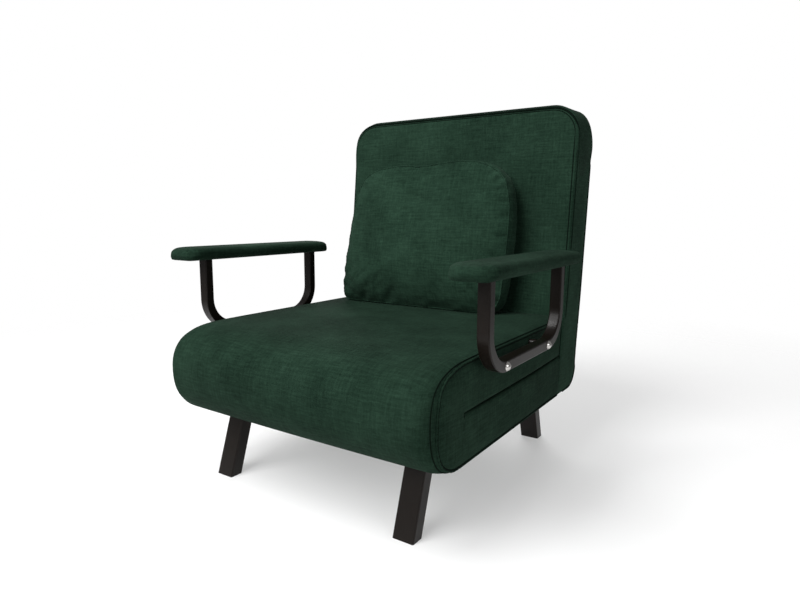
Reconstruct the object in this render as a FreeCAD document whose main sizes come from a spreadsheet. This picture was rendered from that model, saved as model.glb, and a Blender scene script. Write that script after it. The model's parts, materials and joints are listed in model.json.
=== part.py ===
import FreeCAD, Part
import math
import os
import re
import Sketcher

# Fold-out sleeper chair: three upholstered sections on steel frames, loose pillow.
# Millimetres, +Z up, the chair faces -Y, origin on the floor under the middle of the whole object.
# Lengths along Y are first laid out from a working line that crosses the seat; row_shift moves
# every piece so that the object's box is centred on the origin.

Vector = FreeCAD.Vector

SIZES = [
    ("mattress_width", 630, "upholstered sections over their side panels"),
    ("slit_height", 229, "where the base and seat sections lie on each other, above the floor"),
    ("base_depth", 92, "base section from its underside to the slit"),
    ("seat_depth", 92, "seat section from the slit to its crown"),
    ("hinge_rise", 12, "front hinges' pins above the slit"),
    ("seat_crown", 7, "rise of the sitting surface from its side seams"),
    ("side_bulge", 3, "how far a side panel swells between its seams"),
    ("side_draw", 2.5, "how far the side panels draw in between the corners"),
    ("trim_margin", 3, "how far a section's outline runs past the outline that trims it"),
    ("trim_lift", 0.4, "how far an outline stands clear of a swell's highest line"),
    ("front_depth", 298, "working line to the flat front ends of base and seat"),
    ("wrap_depth", 22, "padded front wrap ahead of the flat ends"),
    ("roll_top_radius", 127, "seat's upper front edge"),
    ("roll_bottom_radius", 38, "base's lower front edge"),
    ("wrap_above", 69, "slit to the wrap's upper edge"),
    ("wrap_below", 66, "slit to the wrap's lower edge"),
    ("base_rear", 384, "working line to the base's rear end"),
    ("base_corner", 45, "round of the base's lower rear edge"),
    ("back_front", 266, "working line to the back's front face at the slit"),
    ("back_lean", 5.62, "upright back, degrees from plumb"),
    ("back_thickness", 117, "back section, front face to rear face"),
    ("back_rise", 574, "slit to the top of the back"),
    ("back_crown", 7, "rise of the back's front face from its side seams"),
    ("back_corner", 30, "round of the back's top corners seen from the front"),
    ("back_front_round", 20, "round of the back's top front edge"),
    ("back_rear_round", 45, "round of the back's top rear edge"),
    ("cover_thickness", 1.5, "woven cover with its backing"),
    ("foam_gap", 0.2, "foam inside its cover"),
    ("section_gap", 0.6, "between the base's top and the seat's underside"),
    ("body_gap", 1.0, "between the back and what it turns past"),
    ("flat_gap", 1.5, "base's rear end to the back's lower end when flat"),
    ("tube_side", 25, "square frame tube"),
    ("tube_wall", 1.5, "frame tube wall"),
    ("frame_setback", 23, "flat front ends to the frames behind them"),
    ("base_frame_inset", 24, "side of the base section to the side of its frame"),
    ("base_frame_rear", 358, "working line to the rear of the base frame"),
    ("base_frame_rise", 13, "base frame above the base's underside"),
    ("seat_frame_inset", 25, "side of the seat section to the side of its frame"),
    ("seat_frame_rear", 252, "working line to the rear of the seat frame"),
    ("strap_width", 50, "elastic webbing strap"),
    ("strap_thickness", 2, "elastic webbing strap"),
    ("leg_width", 43.8, "leg tube across the chair"),
    ("leg_depth", 29.2, "leg tube along the floor"),
    ("leg_wall", 1.5, "leg tube wall"),
    ("leg_inset", 62.1, "side of the base frame to the middle of a leg"),
    ("leg_lean", 17.6, "legs from plumb, degrees, feet outwards"),
    ("leg_front", 264.9, "working line to the front legs' front face at the floor"),
    ("leg_rear", 341.7, "working line to the rear legs' rear face at the floor"),
    ("leg_round", 3, "long edges of a leg tube"),
    ("plate_thickness", 3, "leg and hinge plates"),
    ("leg_plate_width", 90, "leg plate across the chair"),
    ("leg_plate_depth", 62, "leg plate along the chair"),
    ("plate_bolt_radius", 4, "bolts of the leg plates"),
    ("plate_bolt_pitch", 63, "between the two bolts of a leg plate"),
    ("arm_gap", 17.25, "side of the seat section to the arm tube"),
    ("arm_tube_width", 23.1, "arm tube across the chair"),
    ("arm_tube_depth", 19.5, "arm tube in its own plane"),
    ("arm_wall", 1.5, "arm tube wall"),
    ("arm_front", 209.4, "working line to the front upright's front face"),
    ("arm_rear", 147, "working line to the rear upright's rear face"),
    ("arm_bar_rise", 60.2, "slit to the underside of the arm frame's lower bar"),
    ("arm_bend", 75, "outer radius of the arm frame's lower corners"),
    ("arm_edge", 2.5, "long edges of the arm tube"),
    ("pad_thickness", 29, "arm pad"),
    ("pad_width", 84, "arm pad across the chair"),
    ("pad_front", 276, "working line to the arm pad's front end"),
    ("pad_rear", 184, "working line to the arm pad's rear end"),
    ("pad_edge", 9, "round of the arm pad's long edges"),
    ("pad_corner", 34, "round of the arm pad's ends in plan"),
    ("board_width", 58, "wooden board in the arm pad"),
    ("board_thickness", 12, "wooden board in the arm pad"),
    ("board_margin", 16, "board's ends inside the arm pad's ends"),
    ("pad_skin", 3, "padding under the board"),
    ("bolt_front", 133.3, "working line to the front arm bolt"),
    ("bolt_rear", 66.9, "working line to the rear arm bolt"),
    ("bolt_radius", 4, "arm bolt shank"),
    ("bolt_head_radius", 8.5, "domed head of the arm bolt"),
    ("bolt_head_height", 5.5, "domed head of the arm bolt"),
    ("spacer_radius", 8, "sleeve between arm tube and seat frame"),
    ("fit_gap", 0.05, "running fit of pins and bolts"),
    ("screw_radius", 3, "screws that hold the arm boards"),
    ("knuckle_radius", 7, "barrel of the front hinges"),
    ("hinge_pin_radius", 4, "pin of the front hinges"),
    ("hinge_inset", 28, "side of the seat frame to the middle of a front hinge"),
    ("knuckle_length", 20, "one knuckle of a front hinge"),
    ("knuckle_gap", 0.5, "between neighbouring knuckles"),
    ("leaf_thickness", 4, "leaf of the front hinges"),
    ("sector_radius", 40, "notched plate of the recline hinges"),
    ("sector_thickness", 3, "notched plate of the recline hinges"),
    ("notch_radius", 3, "notches for the back's five positions"),
    ("recline_bolt_radius", 5, "pivot bolt of the recline hinges"),
    ("arm_plate_thickness", 5, "recline arm"),
    ("arm_plate_width", 36, "recline arm"),
    ("plate_gap", 0.3, "between the notched plate and the recline arm"),
    ("slot_head", 7.5, "room beside the recline arms for the bolt heads"),
    ("head_height", 5, "hexagon heads and nuts"),
    ("back_frame_depth", 20, "pivot line to the back frame's front"),
    ("back_frame_low", 105, "pivot to the underside of the back frame"),
    ("back_frame_drop", 26, "back's top to the top of its frame"),
    ("prop_height", 540, "pivot to the cross tube that carries the prop"),
    ("prop_offset", 16, "back's rear face to the prop's pivot"),
    ("prop_spread", 200, "prop's uprights from the chair's middle"),
    ("prop_radius", 8, "prop tube"),
    ("prop_wall", 1.5, "prop tube wall"),
    ("prop_bend", 32, "prop tube's lower corners"),
    ("prop_pin_radius", 4, "prop's pivot pins"),
    ("prop_foot_thickness", 3, "glides under the prop's bar"),
    ("pillow_width", 487, "loose pillow, before its ends are squared off"),
    ("pillow_height", 364, "loose pillow"),
    ("pillow_thickness", 112, "loose pillow at its middle"),
    ("pillow_border", 28, "boxed border of the pillow"),
    ("pillow_squareness", 4.2, "power of the pillow's rounded outline, 2 for an ellipse"),
    ("pillow_offset", 41, "pillow's middle left of the chair's middle"),
    ("pillow_rest", 0.4, "pillow above the seat's crown and ahead of the back"),
]

WORKED = [
    ("half_width", "mattress_width / 2"),
    ("base_frame_width", "mattress_width - 2 * base_frame_inset"),
    ("seat_frame_width", "mattress_width - 2 * seat_frame_inset"),
    ("leg_centre", "base_frame_width / 2 - leg_inset"),
    ("arm_centre", "half_width + arm_gap + arm_tube_width / 2"),
    ("hinge_centre", "seat_frame_width / 2 - hinge_inset"),
    ("flip_y", "-(front_depth + wrap_depth / 2)"),
    ("flip_z", "slit_height + hinge_rise"),
    ("pad_bottom", "2 * flip_z - pad_thickness"),
    ("base_bottom", "slit_height - base_depth"),
    ("seat_top", "slit_height + seat_depth"),
    ("back_top", "slit_height + back_rise"),
    ("wrap_top", "slit_height + wrap_above"),
    ("wrap_low", "slit_height - wrap_below"),
    ("arm_bar_bottom", "slit_height + arm_bar_rise"),
    ("recline_span", "base_rear + flat_gap - back_front"),
    ("recline_share", "cos(back_lean) ^ 2 + (1 - sin(back_lean)) ^ 2"),
    ("back_ahead", "(recline_span * cos(back_lean) - body_gap * (1 - sin(back_lean))) / recline_share"),
    ("back_above", "(body_gap * cos(back_lean) + recline_span * (1 - sin(back_lean))) / recline_share"),
    ("recline_y", "base_rear + flat_gap - back_above"),
    ("recline_z", "slit_height - back_ahead"),
    ("base_top", "slit_height - section_gap / 2"),
    ("seat_low", "slit_height + section_gap / 2"),
    ("hollow_radius", "sqrt((base_rear - recline_y) ^ 2 + (base_top - recline_z) ^ 2) + body_gap"),
    ("back_reach", "(back_top - recline_z) / cos(back_lean)"),
    ("back_behind", "back_thickness - back_ahead"),
    ("seat_rear_low", "back_front - body_gap"),
    ("seat_rear_high", "seat_rear_low + (seat_top - seat_low) * tan(back_lean)"),
    ("base_frame_z", "base_bottom + base_frame_rise"),
    ("frame_front", "-(front_depth - frame_setback)"),
    ("bar_z", "arm_bar_bottom + arm_tube_depth / 2"),
    ("seat_frame_z", "bar_z - 0.65 * tube_side"),
    ("leaf_low", "wrap_low + body_gap"),
    ("barrel_room", "knuckle_radius + body_gap"),
    ("leaf_high", "wrap_top - 3 * body_gap"),
    ("sector_x", "base_frame_width / 2"),
    ("arm_plate_x", "sector_x + sector_thickness + plate_gap"),
    ("back_frame_width", "2 * arm_plate_x"),
    ("back_frame_top", "back_reach - back_frame_drop"),
    ("prop_depth", "back_behind + prop_offset"),
    ("prop_y", "recline_y + prop_depth * cos(back_lean) + prop_height * sin(back_lean)"),
    ("prop_z", "recline_z + prop_height * cos(back_lean) - prop_depth * sin(back_lean)"),
    ("prop_reach", "recline_z - prop_depth"),
    ("ear_radius", "prop_radius + 2"),
    ("row_shift", "(front_depth + wrap_depth - prop_y - ear_radius) / 2"),
    ("leg_plate_z", "base_frame_z - plate_thickness"),
    ("leg_slope", "tan(leg_lean)"),
    ("board_z", "pad_bottom + pad_skin"),
]

doc = FreeCAD.newDocument("SleeperChair")


def fill_sheet(name, rows, worked):
    """One row per size: its name, its value or formula, and what it is."""
    sheet = doc.addObject("Spreadsheet::Sheet", name)
    for number, row in enumerate(rows, start=1):
        text = str(row[1])
        sheet.set(f"A{number}", row[0])
        sheet.set(f"B{number}", "=" + formula(text) if worked else text)
        sheet.setAlias(f"B{number}", row[0])
        if len(row) > 2:
            sheet.set(f"C{number}", row[2])
    return sheet


HOME = {row[0]: "Size" for row in SIZES}
HOME.update({row[0]: "Worked" for row in WORKED})


def formula(text):
    """The text with each size's name led by the sheet that holds it."""
    return re.sub(
        r"[a-z_]+",
        lambda word: f"{HOME[word[0]]}.{word[0]}" if word[0] in HOME else word[0],
        str(text),
    )


size_sheet = fill_sheet("Size", SIZES, worked=False)
doc.recompute()
worked_sheet = fill_sheet("Worked", WORKED, worked=True)
doc.recompute()


def size(name):
    """A size or worked value as a number, for shapes made by code."""
    sheet = size_sheet if HOME[name] == "Size" else worked_sheet
    return float(getattr(sheet, name))


def bind(piece, **rules):
    for prop, text in rules.items():
        piece.setExpression(prop, formula(text))


def place(piece, at):
    for axis, text in zip("xyz", at):
        piece.setExpression("Placement.Base." + axis, formula(text))


def box(name, extent, corner):
    piece = doc.addObject("Part::Box", name)
    bind(piece, Length=extent[0], Width=extent[1], Height=extent[2])
    place(piece, corner)
    return piece


def mirrored_box(name, side, near, far, extent, corner):
    """A box between two distances from the chair's middle, on the right (1) or the left (-1)."""
    start = near if side > 0 else f"-({far})"
    return box(name, (f"({far}) - ({near})", extent[0], extent[1]), (start, corner[0], corner[1]))


TURNS = {
    "x": FreeCAD.Rotation(Vector(0, 1, 0), 90),
    "y": FreeCAD.Rotation(Vector(1, 0, 0), -90),
    "z": FreeCAD.Rotation(),
}


def rod(name, axis, radius, length, start):
    piece = doc.addObject("Part::Cylinder", name)
    bind(piece, Radius=radius, Height=length)
    piece.Placement = FreeCAD.Placement(Vector(), TURNS[axis])
    place(piece, start)
    return piece


def mirrored_rod(name, side, radius, near, far, centre):
    """A rod across the chair between two distances from its middle."""
    start = near if side > 0 else f"-({far})"
    return rod(name, "x", radius, f"({far}) - ({near})", (start, centre[0], centre[1]))


def joined(name, pieces):
    if len(pieces) == 1:
        return pieces[0]
    whole = doc.addObject("Part::MultiFuse", name)
    whole.Shapes = pieces
    return whole


def cut(name, base, tools):
    piece = doc.addObject("Part::Cut", name)
    piece.Base = base
    piece.Tool = joined(name + "Tools", tools)
    return piece


def group(name, pieces):
    """Separate solids of one kind kept together as one node."""
    whole = doc.addObject("Part::Compound", name)
    whole.Links = pieces
    return whole


def plane_of(body, role):
    return [part for part in body.Origin.OriginFeatures if part.Role == role][0]


def polygon_sketch(body, name, role, points):
    """A closed outline of straight edges, every corner bound to the sheet."""
    sketch = body.newObject("Sketcher::SketchObject", name)
    sketch.AttachmentSupport = [(plane_of(body, role), "")]
    sketch.MapMode = "FlatFace"
    count = len(points)
    ring = [Vector(math.cos(math.tau * k / count), math.sin(math.tau * k / count), 0) for k in range(count)]
    for k in range(count):
        sketch.addGeometry(Part.LineSegment(ring[k], ring[(k + 1) % count]))
    for k in range(count):
        sketch.addConstraint(Sketcher.Constraint("Coincident", k, 2, (k + 1) % count, 1))
    for k, point in enumerate(points):
        for kind, text in zip(("DistanceX", "DistanceY"), point):
            number = sketch.addConstraint(Sketcher.Constraint(kind, -1, 1, k, 1, 1.0 + k))
            sketch.setExpression(f"Constraints[{number}]", formula(text))
    return sketch


def profile_body(name, points, width, at="0"):
    """A side profile in Y and Z, padded across the chair about x = at."""
    body = doc.addObject("PartDesign::Body", name)
    pad = body.newObject("PartDesign::Pad", name + "Pad")
    pad.Profile = polygon_sketch(body, name + "Outline", "YZ_Plane", points)
    pad.SideType = "Symmetric"
    bind(pad, Length=width)
    place(body, (at, "0", "0"))
    doc.recompute()
    return body


def round_edges(body, name, radius, wanted):
    """Fillets the edges of the body's tip that wanted(edge) picks."""
    tip = body.Tip
    names = [f"Edge{k + 1}" for k, edge in enumerate(tip.Shape.Edges) if wanted(edge)]
    fillet = body.newObject("PartDesign::Fillet", name)
    fillet.Base = (tip, names)
    bind(fillet, Radius=radius)
    doc.recompute()
    return fillet


def pocket_across(body, name, points, width):
    pocket = body.newObject("PartDesign::Pocket", name)
    pocket.Profile = polygon_sketch(body, name + "Outline", "YZ_Plane", points)
    pocket.SideType = "Symmetric"
    bind(pocket, Length=width)
    doc.recompute()
    return pocket


def runs_across(edge):
    """True for a straight edge along X."""
    if not isinstance(edge.Curve, (Part.Line, Part.LineSegment)):
        return False
    way = edge.Vertexes[-1].Point - edge.Vertexes[0].Point
    return abs(way.x) > 0.99 * way.Length


subparts = []


def deliver(piece, label, home="chair"):
    """Names a finished sub-part and moves it from its home frame into the row frame."""
    piece.Label = label
    if home == "chair":
        place(piece, ("0", "row_shift", "0"))
    if home == "back":
        piece.Placement = FreeCAD.Placement(Vector(), FreeCAD.Rotation(Vector(-1, 0, 0), size("back_lean")))
        piece.setExpression("Placement.Rotation.Angle", formula("back_lean"))
        place(piece, ("0", "recline_y + row_shift", "recline_z"))
    if home == "prop":
        place(piece, ("0", "prop_y + row_shift", "prop_z"))
    subparts.append(piece)
    return piece


# Soft sections

def outline_wire(points, arcs, plane):
    """A closed flat outline through points; arcs maps an edge's number to its middle point."""
    edges = []
    for k, start in enumerate(points):
        end = points[(k + 1) % len(points)]
        ends = [plane(*start), plane(*end)]
        if k in arcs:
            edges.append(Part.Arc(ends[0], plane(*arcs[k]), ends[1]).toShape())
        elif (ends[1] - ends[0]).Length > 1e-6:
            edges.append(Part.LineSegment(*ends).toShape())
    return Part.Wire(edges)


def prism(wire, inset, way):
    """The wire drawn in by inset and extruded along way."""
    outline = wire.makeOffset2D(-inset) if inset else wire
    return Part.Face(outline).extrude(way)


def arc_middle(centre, radius, start, end):
    """The point halfway along a rounded corner."""
    bisector = (start + end) / 2
    return (
        centre[0] + radius * math.cos(math.radians(bisector)),
        centre[1] + radius * math.sin(math.radians(bisector)),
    )


def cushion(side_wire, cross_wire, plan_wire, inset, length, width, height):
    """What three prisms share: the side profile, the cross-section and the plan."""
    blank = prism(side_wire, inset, Vector(width, 0, 0))
    blank = blank.common(prism(cross_wire, inset, Vector(0, length, 0)))
    return blank.common(prism(plan_wire, inset, Vector(0, 0, height)))


def side_plane(x):
    return lambda y, z: Vector(x, y, z)


def cross_plane(y):
    return lambda x, z: Vector(x, y, z)


def plan_plane(z):
    return lambda x, y: Vector(x, y, z)


def swell_at(level, low, high):
    """Half-width of a swelled side panel at a level, also beyond its seams at low and high."""
    share = (2 * level - low - high) / (high - low)
    return size("half_width") - size("side_bulge") * share ** 2


def swelled_section(low, high, crown):
    """Cross-section from the front: crowned top, side panels that swell between the seams.

    A flat end runs past its seam, so that the side profile trims it."""
    shoulder = high - crown
    middle = (low + shoulder) / 2
    bottom = low - size("trim_margin")
    top = shoulder if crown else high + size("trim_margin")
    wide_low = swell_at(bottom, low, shoulder)
    wide_high = swell_at(top, low, shoulder)
    points = [(-wide_low, bottom), (wide_low, bottom), (wide_high, top), (-wide_high, top)]
    arcs = {1: (size("half_width"), middle), 3: (-size("half_width"), middle)}
    if crown:
        arcs[2] = (0, high)
    return outline_wire(points, arcs, cross_plane(-size("front_depth") - size("wrap_depth")))


def drawn_plan(front, rear, plane):
    """Plan whose side panels draw in a little between the corners."""
    half = size("half_width") + size("trim_lift")
    waist = half - size("side_draw")
    points = [(-half, front), (half, front), (half, rear), (-half, rear)]
    middle = (front + rear) / 2
    return outline_wire(points, {1: (waist, middle), 3: (-waist, middle)}, plane)


def base_section(inset):
    """Lower section: rounded lower edges front and rear, flat on top."""
    front = -size("front_depth") + size("section_gap")
    rear = size("base_rear")
    low = size("base_bottom")
    top = size("base_top")
    edge = size("roll_bottom_radius")
    step = size("wrap_low") - low
    toe = math.sqrt(edge ** 2 - (edge - step) ** 2)
    corner = size("base_corner")
    centre = (front + toe, low + edge)
    swing = math.degrees(math.acos((edge - step) / edge))
    points = [
        (front, top),
        (front, size("wrap_low")),
        (front + toe, low),
        (rear - corner, low),
        (rear, low + corner),
        (rear, top),
    ]
    arcs = {
        1: arc_middle(centre, edge, -90 - swing, -90),
        3: arc_middle((rear - corner, low + corner), corner, -90, 0),
    }
    half = size("half_width") + size("side_bulge")
    side = outline_wire(points, arcs, side_plane(-half))
    cross = swelled_section(low, top, 0)
    plan = drawn_plan(front, rear, plan_plane(low))
    length = rear + size("front_depth") + size("wrap_depth")
    return cushion(side, cross, plan, inset, length, 2 * half, top - low)


def seat_section(inset):
    """Upper section: long round at its front edge, crowned sitting surface."""
    front = -size("front_depth") + size("section_gap")
    low = size("seat_low")
    top = size("seat_top")
    edge = size("roll_top_radius")
    lift = size("trim_lift")
    drop = top - size("wrap_top")
    toe = math.sqrt(edge ** 2 - (edge - drop) ** 2)
    swing = math.degrees(math.acos((edge - drop) / edge))
    points = [
        (front, low),
        (size("seat_rear_low"), low),
        (size("seat_rear_high"), top + lift),
        (front + toe, top + lift),
        (front, size("wrap_top") + lift),
    ]
    arcs = {3: arc_middle((front + toe, top + lift - edge), edge, 90, 90 + swing)}
    half = size("half_width") + size("side_bulge")
    side = outline_wire(points, arcs, side_plane(-half))
    cross = swelled_section(low, top, size("seat_crown"))
    plan = drawn_plan(front, size("seat_rear_high"), plan_plane(low))
    length = size("seat_rear_high") + size("front_depth") + size("wrap_depth")
    return cushion(side, cross, plan, inset, length, 2 * half, top + lift - low)


def back_section(inset):
    """Back section about its own pivot: hollow lower end that clears the base's rear edge."""
    crest = -size("back_ahead")
    ahead = crest - size("trim_lift")
    behind = size("back_behind")
    top = size("back_reach")
    front_round = size("back_front_round")
    rear_round = size("back_rear_round")
    hollow = size("hollow_radius")
    lip = math.sqrt(hollow ** 2 - ahead ** 2)
    heel = math.sqrt(hollow ** 2 - behind ** 2)
    points = [
        (ahead, lip),
        (behind, heel),
        (behind, top - rear_round),
        (behind - rear_round, top),
        (ahead + front_round, top),
        (ahead, top - front_round),
    ]
    arcs = {
        0: (0, hollow),
        2: arc_middle((behind - rear_round, top - rear_round), rear_round, 0, 90),
        4: arc_middle((ahead + front_round, top - front_round), front_round, 90, 180),
    }
    half = size("half_width") + size("trim_lift")
    side = outline_wire(points, arcs, side_plane(-half))
    corner = size("back_corner")
    face = [
        (-half, lip),
        (half, lip),
        (half, top - corner),
        (half - corner, top),
        (corner - half, top),
        (-half, top - corner),
    ]
    rounds = {
        2: arc_middle((half - corner, top - corner), corner, 0, 90),
        4: arc_middle((corner - half, top - corner), corner, 90, 180),
    }
    front = outline_wire(face, rounds, cross_plane(ahead))
    shoulder = crest + size("back_crown")
    middle = (shoulder + behind) / 2
    seam = swell_at(shoulder, shoulder, behind)
    rear = behind + size("trim_margin")
    wide = swell_at(rear, shoulder, behind)
    points = [(-seam, shoulder), (seam, shoulder), (wide, rear), (-wide, rear)]
    swells = {0: (0, crest), 1: (size("half_width"), middle), 3: (-size("half_width"), middle)}
    plan = outline_wire(points, swells, plan_plane(lip))
    return cushion(side, front, plan, inset, behind - ahead, 2 * half, top - lip)


def box_shape(extent, corner):
    return Part.makeBox(extent[0], extent[1], extent[2], Vector(*corner))


def mirrored_shapes(near, far, extent, corner):
    """The same box on both sides of the chair."""
    right = box_shape((far - near, extent[0], extent[1]), (near, corner[0], corner[1]))
    left = box_shape((far - near, extent[0], extent[1]), (-far, corner[0], corner[1]))
    return [right, left]


def hinge_windows(low, high, ahead):
    """Openings in the padding for the front hinges, from a distance ahead of their pins."""
    reach = 1.5 * size("knuckle_length") + 2 * size("knuckle_gap") + size("leaf_thickness")
    centre = size("hinge_centre")
    front = size("flip_y") - ahead
    depth = size("frame_front") - front + size("foam_gap")
    return mirrored_shapes(centre - reach, centre + reach, (depth, high - low), (front, low))


def recline_slots():
    """Channels in the base for the recline arms, open above and behind."""
    near = size("sector_x")
    far = size("arm_plate_x") + size("arm_plate_thickness") + size("slot_head")
    front = size("back_front") - size("arm_plate_width") / 2
    low = size("recline_z") - size("arm_plate_width") / 2 - size("foam_gap")
    extent = (size("base_rear") - front + size("tube_side"), size("slit_height") - low + size("tube_side"))
    return mirrored_shapes(near, far, extent, (front, low))


def leg_stations():
    """Each leg: its name, its side, its foot's outer face and which way it leans."""
    for row, sign in (("front", -1), ("rear", 1)):
        for hand, side in (("left", -1), ("right", 1)):
            yield f"leg_{row}_{hand}", side, sign


def leg_openings():
    """Room in the base's underside for the leg plates and the legs under them."""
    openings = []
    for name, side, sign in leg_stations():
        foot = -size("leg_front") if sign < 0 else size("leg_rear")
        top = size("leg_plate_z")
        middle = foot - sign * (size("leg_depth") / 2 + top * size("leg_slope"))
        depth = size("leg_plate_depth") + 2 * size("body_gap")
        width = size("leg_plate_width") + 2 * size("body_gap")
        low = size("base_bottom") - size("tube_side")
        corner = (side * size("leg_centre") - width / 2, middle - depth / 2, low)
        openings.append(box_shape((width, depth, size("base_frame_z") - low), corner))
    return openings


def soft_pair(name, section, openings, core_openings, home):
    """A cover and the foam in it, both opened where hardware passes."""
    skin = size("cover_thickness")
    inner = section(skin)
    shell = section(0).cut(inner)
    core = section(skin + size("foam_gap"))
    if openings:
        shell = shell.cut(openings)
        core = core.cut(openings)
    core = core.cut(core_openings)
    for kind, shape in (("cover", shell), ("foam", core)):
        piece = doc.addObject("Part::Feature", name.title() + kind.title())
        piece.Shape = shape.removeSplitter()
        deliver(piece, f"{name}_{kind}", home)


# Frames of square tube

def tube_along(name, axis, length, corner):
    """One hollow square tube, open at both ends."""
    extent = {"x": (length, "tube_side", "tube_side"), "y": ("tube_side", length, "tube_side"),
              "z": ("tube_side", "tube_side", length)}[axis]
    outer = box(name + "Outer", extent, corner)
    bore = ["tube_side - 2 * tube_wall"] * 3
    start = [f"{text} + tube_wall" for text in corner]
    number = "xyz".index(axis)
    bore[number] = length
    start[number] = corner[number]
    return cut(name, outer, [box(name + "Bore", bore, start)])


def flat_frame(name, width, front, rear, low, cross_lines):
    """A frame lying flat: two side tubes and the cross tubes between them."""
    pieces = []
    for hand, corner in (("Left", f"-({width}) / 2"), ("Right", f"({width}) / 2 - tube_side")):
        pieces.append(tube_along(name + hand, "y", f"({rear}) - ({front})", (corner, front, low)))
    for number, line in enumerate(cross_lines):
        inner = f"({width}) - 2 * tube_side"
        corner = (f"tube_side - ({width}) / 2", line, low)
        pieces.append(tube_along(f"{name}Cross{number}", "x", inner, corner))
    return joined(name + "Tubes", pieces)


def upright_frame(name, width, low, high, depth, cross_lines):
    """The back's frame in its own axes: side tubes along the back, cross tubes between them."""
    pieces = []
    for hand, corner in (("Left", f"-({width}) / 2"), ("Right", f"({width}) / 2 - tube_side")):
        pieces.append(tube_along(name + hand, "z", f"({high}) - ({low})", (corner, depth, low)))
    for number, line in enumerate(cross_lines):
        inner = f"({width}) - 2 * tube_side"
        corner = (f"tube_side - ({width}) / 2", depth, line)
        pieces.append(tube_along(f"{name}Cross{number}", "x", inner, corner))
    return joined(name + "Tubes", pieces)


STRAP_SHARES = (1 / 8, 3 / 8, 5 / 8, 7 / 8)


def webbing(name, across, along, first_layer, second_layer):
    """Two crossed layers of flat straps; across and along turn a share of the frame into a strap."""
    straps = [across(f"{name}Across{k}", first_layer, share) for k, share in enumerate(STRAP_SHARES)]
    straps += [along(f"{name}Along{k}", second_layer, share) for k, share in enumerate(STRAP_SHARES)]
    return group(name, straps)


# Base section: frame, webbing, legs

LEG_LINE = {-1: "-leg_front + leg_depth / 2 + leg_plate_z * leg_slope",
            1: "leg_rear - leg_depth / 2 - leg_plate_z * leg_slope"}


def leg_bolt_spots():
    for name, side, sign in leg_stations():
        for way in ("-", "+"):
            yield name + way, f"{side} * leg_centre {way} plate_bolt_pitch / 2", LEG_LINE[sign]


def make_base_frame():
    cross = ["frame_front", f"{LEG_LINE[-1]} - tube_side / 2", f"{LEG_LINE[1]} - tube_side / 2",
             "base_frame_rear - tube_side"]
    frame = flat_frame("BaseFrame", "base_frame_width", "frame_front", "base_frame_rear", "base_frame_z",
                       cross)
    holes = [rod(f"FrameHole{k}", "z", "plate_bolt_radius + fit_gap", "2 * tube_wall",
                 (x, y, "base_frame_z - tube_wall / 2"))
             for k, (name, x, y) in enumerate(leg_bolt_spots())]
    for side in (-1, 1):
        holes.append(mirrored_rod(f"FramePivotHole{side + 1}", side, "recline_bolt_radius + fit_gap",
                                  "sector_x - tube_side - 1", "sector_x + 1", ("recline_y", "recline_z")))
    deliver(cut("BaseFrame", frame, holes), "base_frame")


def flat_straps(name, width, front, rear, low, lift):
    """Webbing over a flat frame: lift is the way the second layer lies off the first."""
    length = f"(({rear}) - ({front}))"

    def across(label, layer, share):
        corner = (f"-({width}) / 2 + tube_wall", f"({front}) + {length} * {share} - strap_width / 2", layer)
        return box(label, (f"({width}) - 2 * tube_wall", "strap_width", "strap_thickness"), corner)

    def along(label, layer, share):
        corner = (f"-({width}) / 2 + ({width}) * {share} - strap_width / 2", f"({front}) + tube_wall", layer)
        return box(label, ("strap_width", f"{length} - 2 * tube_wall", "strap_thickness"), corner)

    second = f"{low} {lift} strap_thickness"
    return webbing(name, across, along, low, second)


def make_legs():
    bolts = []
    plugs = []
    for name, side, sign in leg_stations():
        outer_foot = "-leg_front" if sign < 0 else "leg_rear - leg_depth"
        slope = "+ leg_slope" if sign < 0 else "- leg_slope"
        skin = "leg_wall / cos(leg_lean)"

        def slanted(low, high, inset):
            """The tube's side profile between two heights, drawn in by inset."""
            near = f"{outer_foot} + {inset}"
            far = f"{outer_foot} + leg_depth - {inset}"
            return [(f"{near} {slope} * ({low})", low), (f"{far} {slope} * ({low})", low),
                    (f"{far} {slope} * ({high})", high), (f"{near} {slope} * ({high})", high)]

        tube = profile_body(name.title() + "Tube", slanted("0", "leg_plate_z", "0"), "leg_width",
                            f"{side} * leg_centre")
        round_edges(tube, name.title() + "Rounds", "leg_round", lambda edge: not runs_across(edge)
                    and edge.BoundBox.ZLength > size("leg_plate_z") / 2)
        pocket_across(tube, name.title() + "Bore", slanted("-leg_plate_z / 8", "leg_plate_z", skin),
                      "leg_width - 2 * leg_wall")
        plate = box(name.title() + "Plate", ("leg_plate_width", "leg_plate_depth", "plate_thickness"),
                    (f"{side} * leg_centre - leg_plate_width / 2", f"{LEG_LINE[sign]} - leg_plate_depth / 2",
                     "leg_plate_z"))
        spots = [spot for spot in leg_bolt_spots() if spot[0][:-1] == name]
        holes = [rod(f"{name.title()}Hole{k}", "z", "plate_bolt_radius + fit_gap", "3 * plate_thickness",
                     (x, y, "leg_plate_z - plate_thickness")) for k, (label, x, y) in enumerate(spots)]
        deliver(cut(name.title(), joined(name.title() + "Welded", [tube, plate]), holes), name)
        for k, (label, x, y) in enumerate(spots):
            shank = rod(f"{name.title()}Shank{k}", "z", "plate_bolt_radius",
                        "plate_thickness + 2 * head_height", (x, y, "leg_plate_z"))
            head = hexagon(f"{name.title()}Head{k}", "z", "1.6 * plate_bolt_radius", "head_height",
                           (x, y, "leg_plate_z - head_height"))
            bolts.append(joined(f"{name.title()}Bolt{k}", [shank, head]))
        plugs.append(profile_body(name.title() + "Plug",
                                  slanted("leg_wall / 2", "leg_depth / 2", f"({skin} + foam_gap)"),
                                  "leg_width - 2 * leg_wall - 2 * foam_gap", f"{side} * leg_centre"))
    deliver(group("LegBolts", bolts), "leg_bolts")
    deliver(group("LegPlugs", plugs), "leg_plugs")


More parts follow.
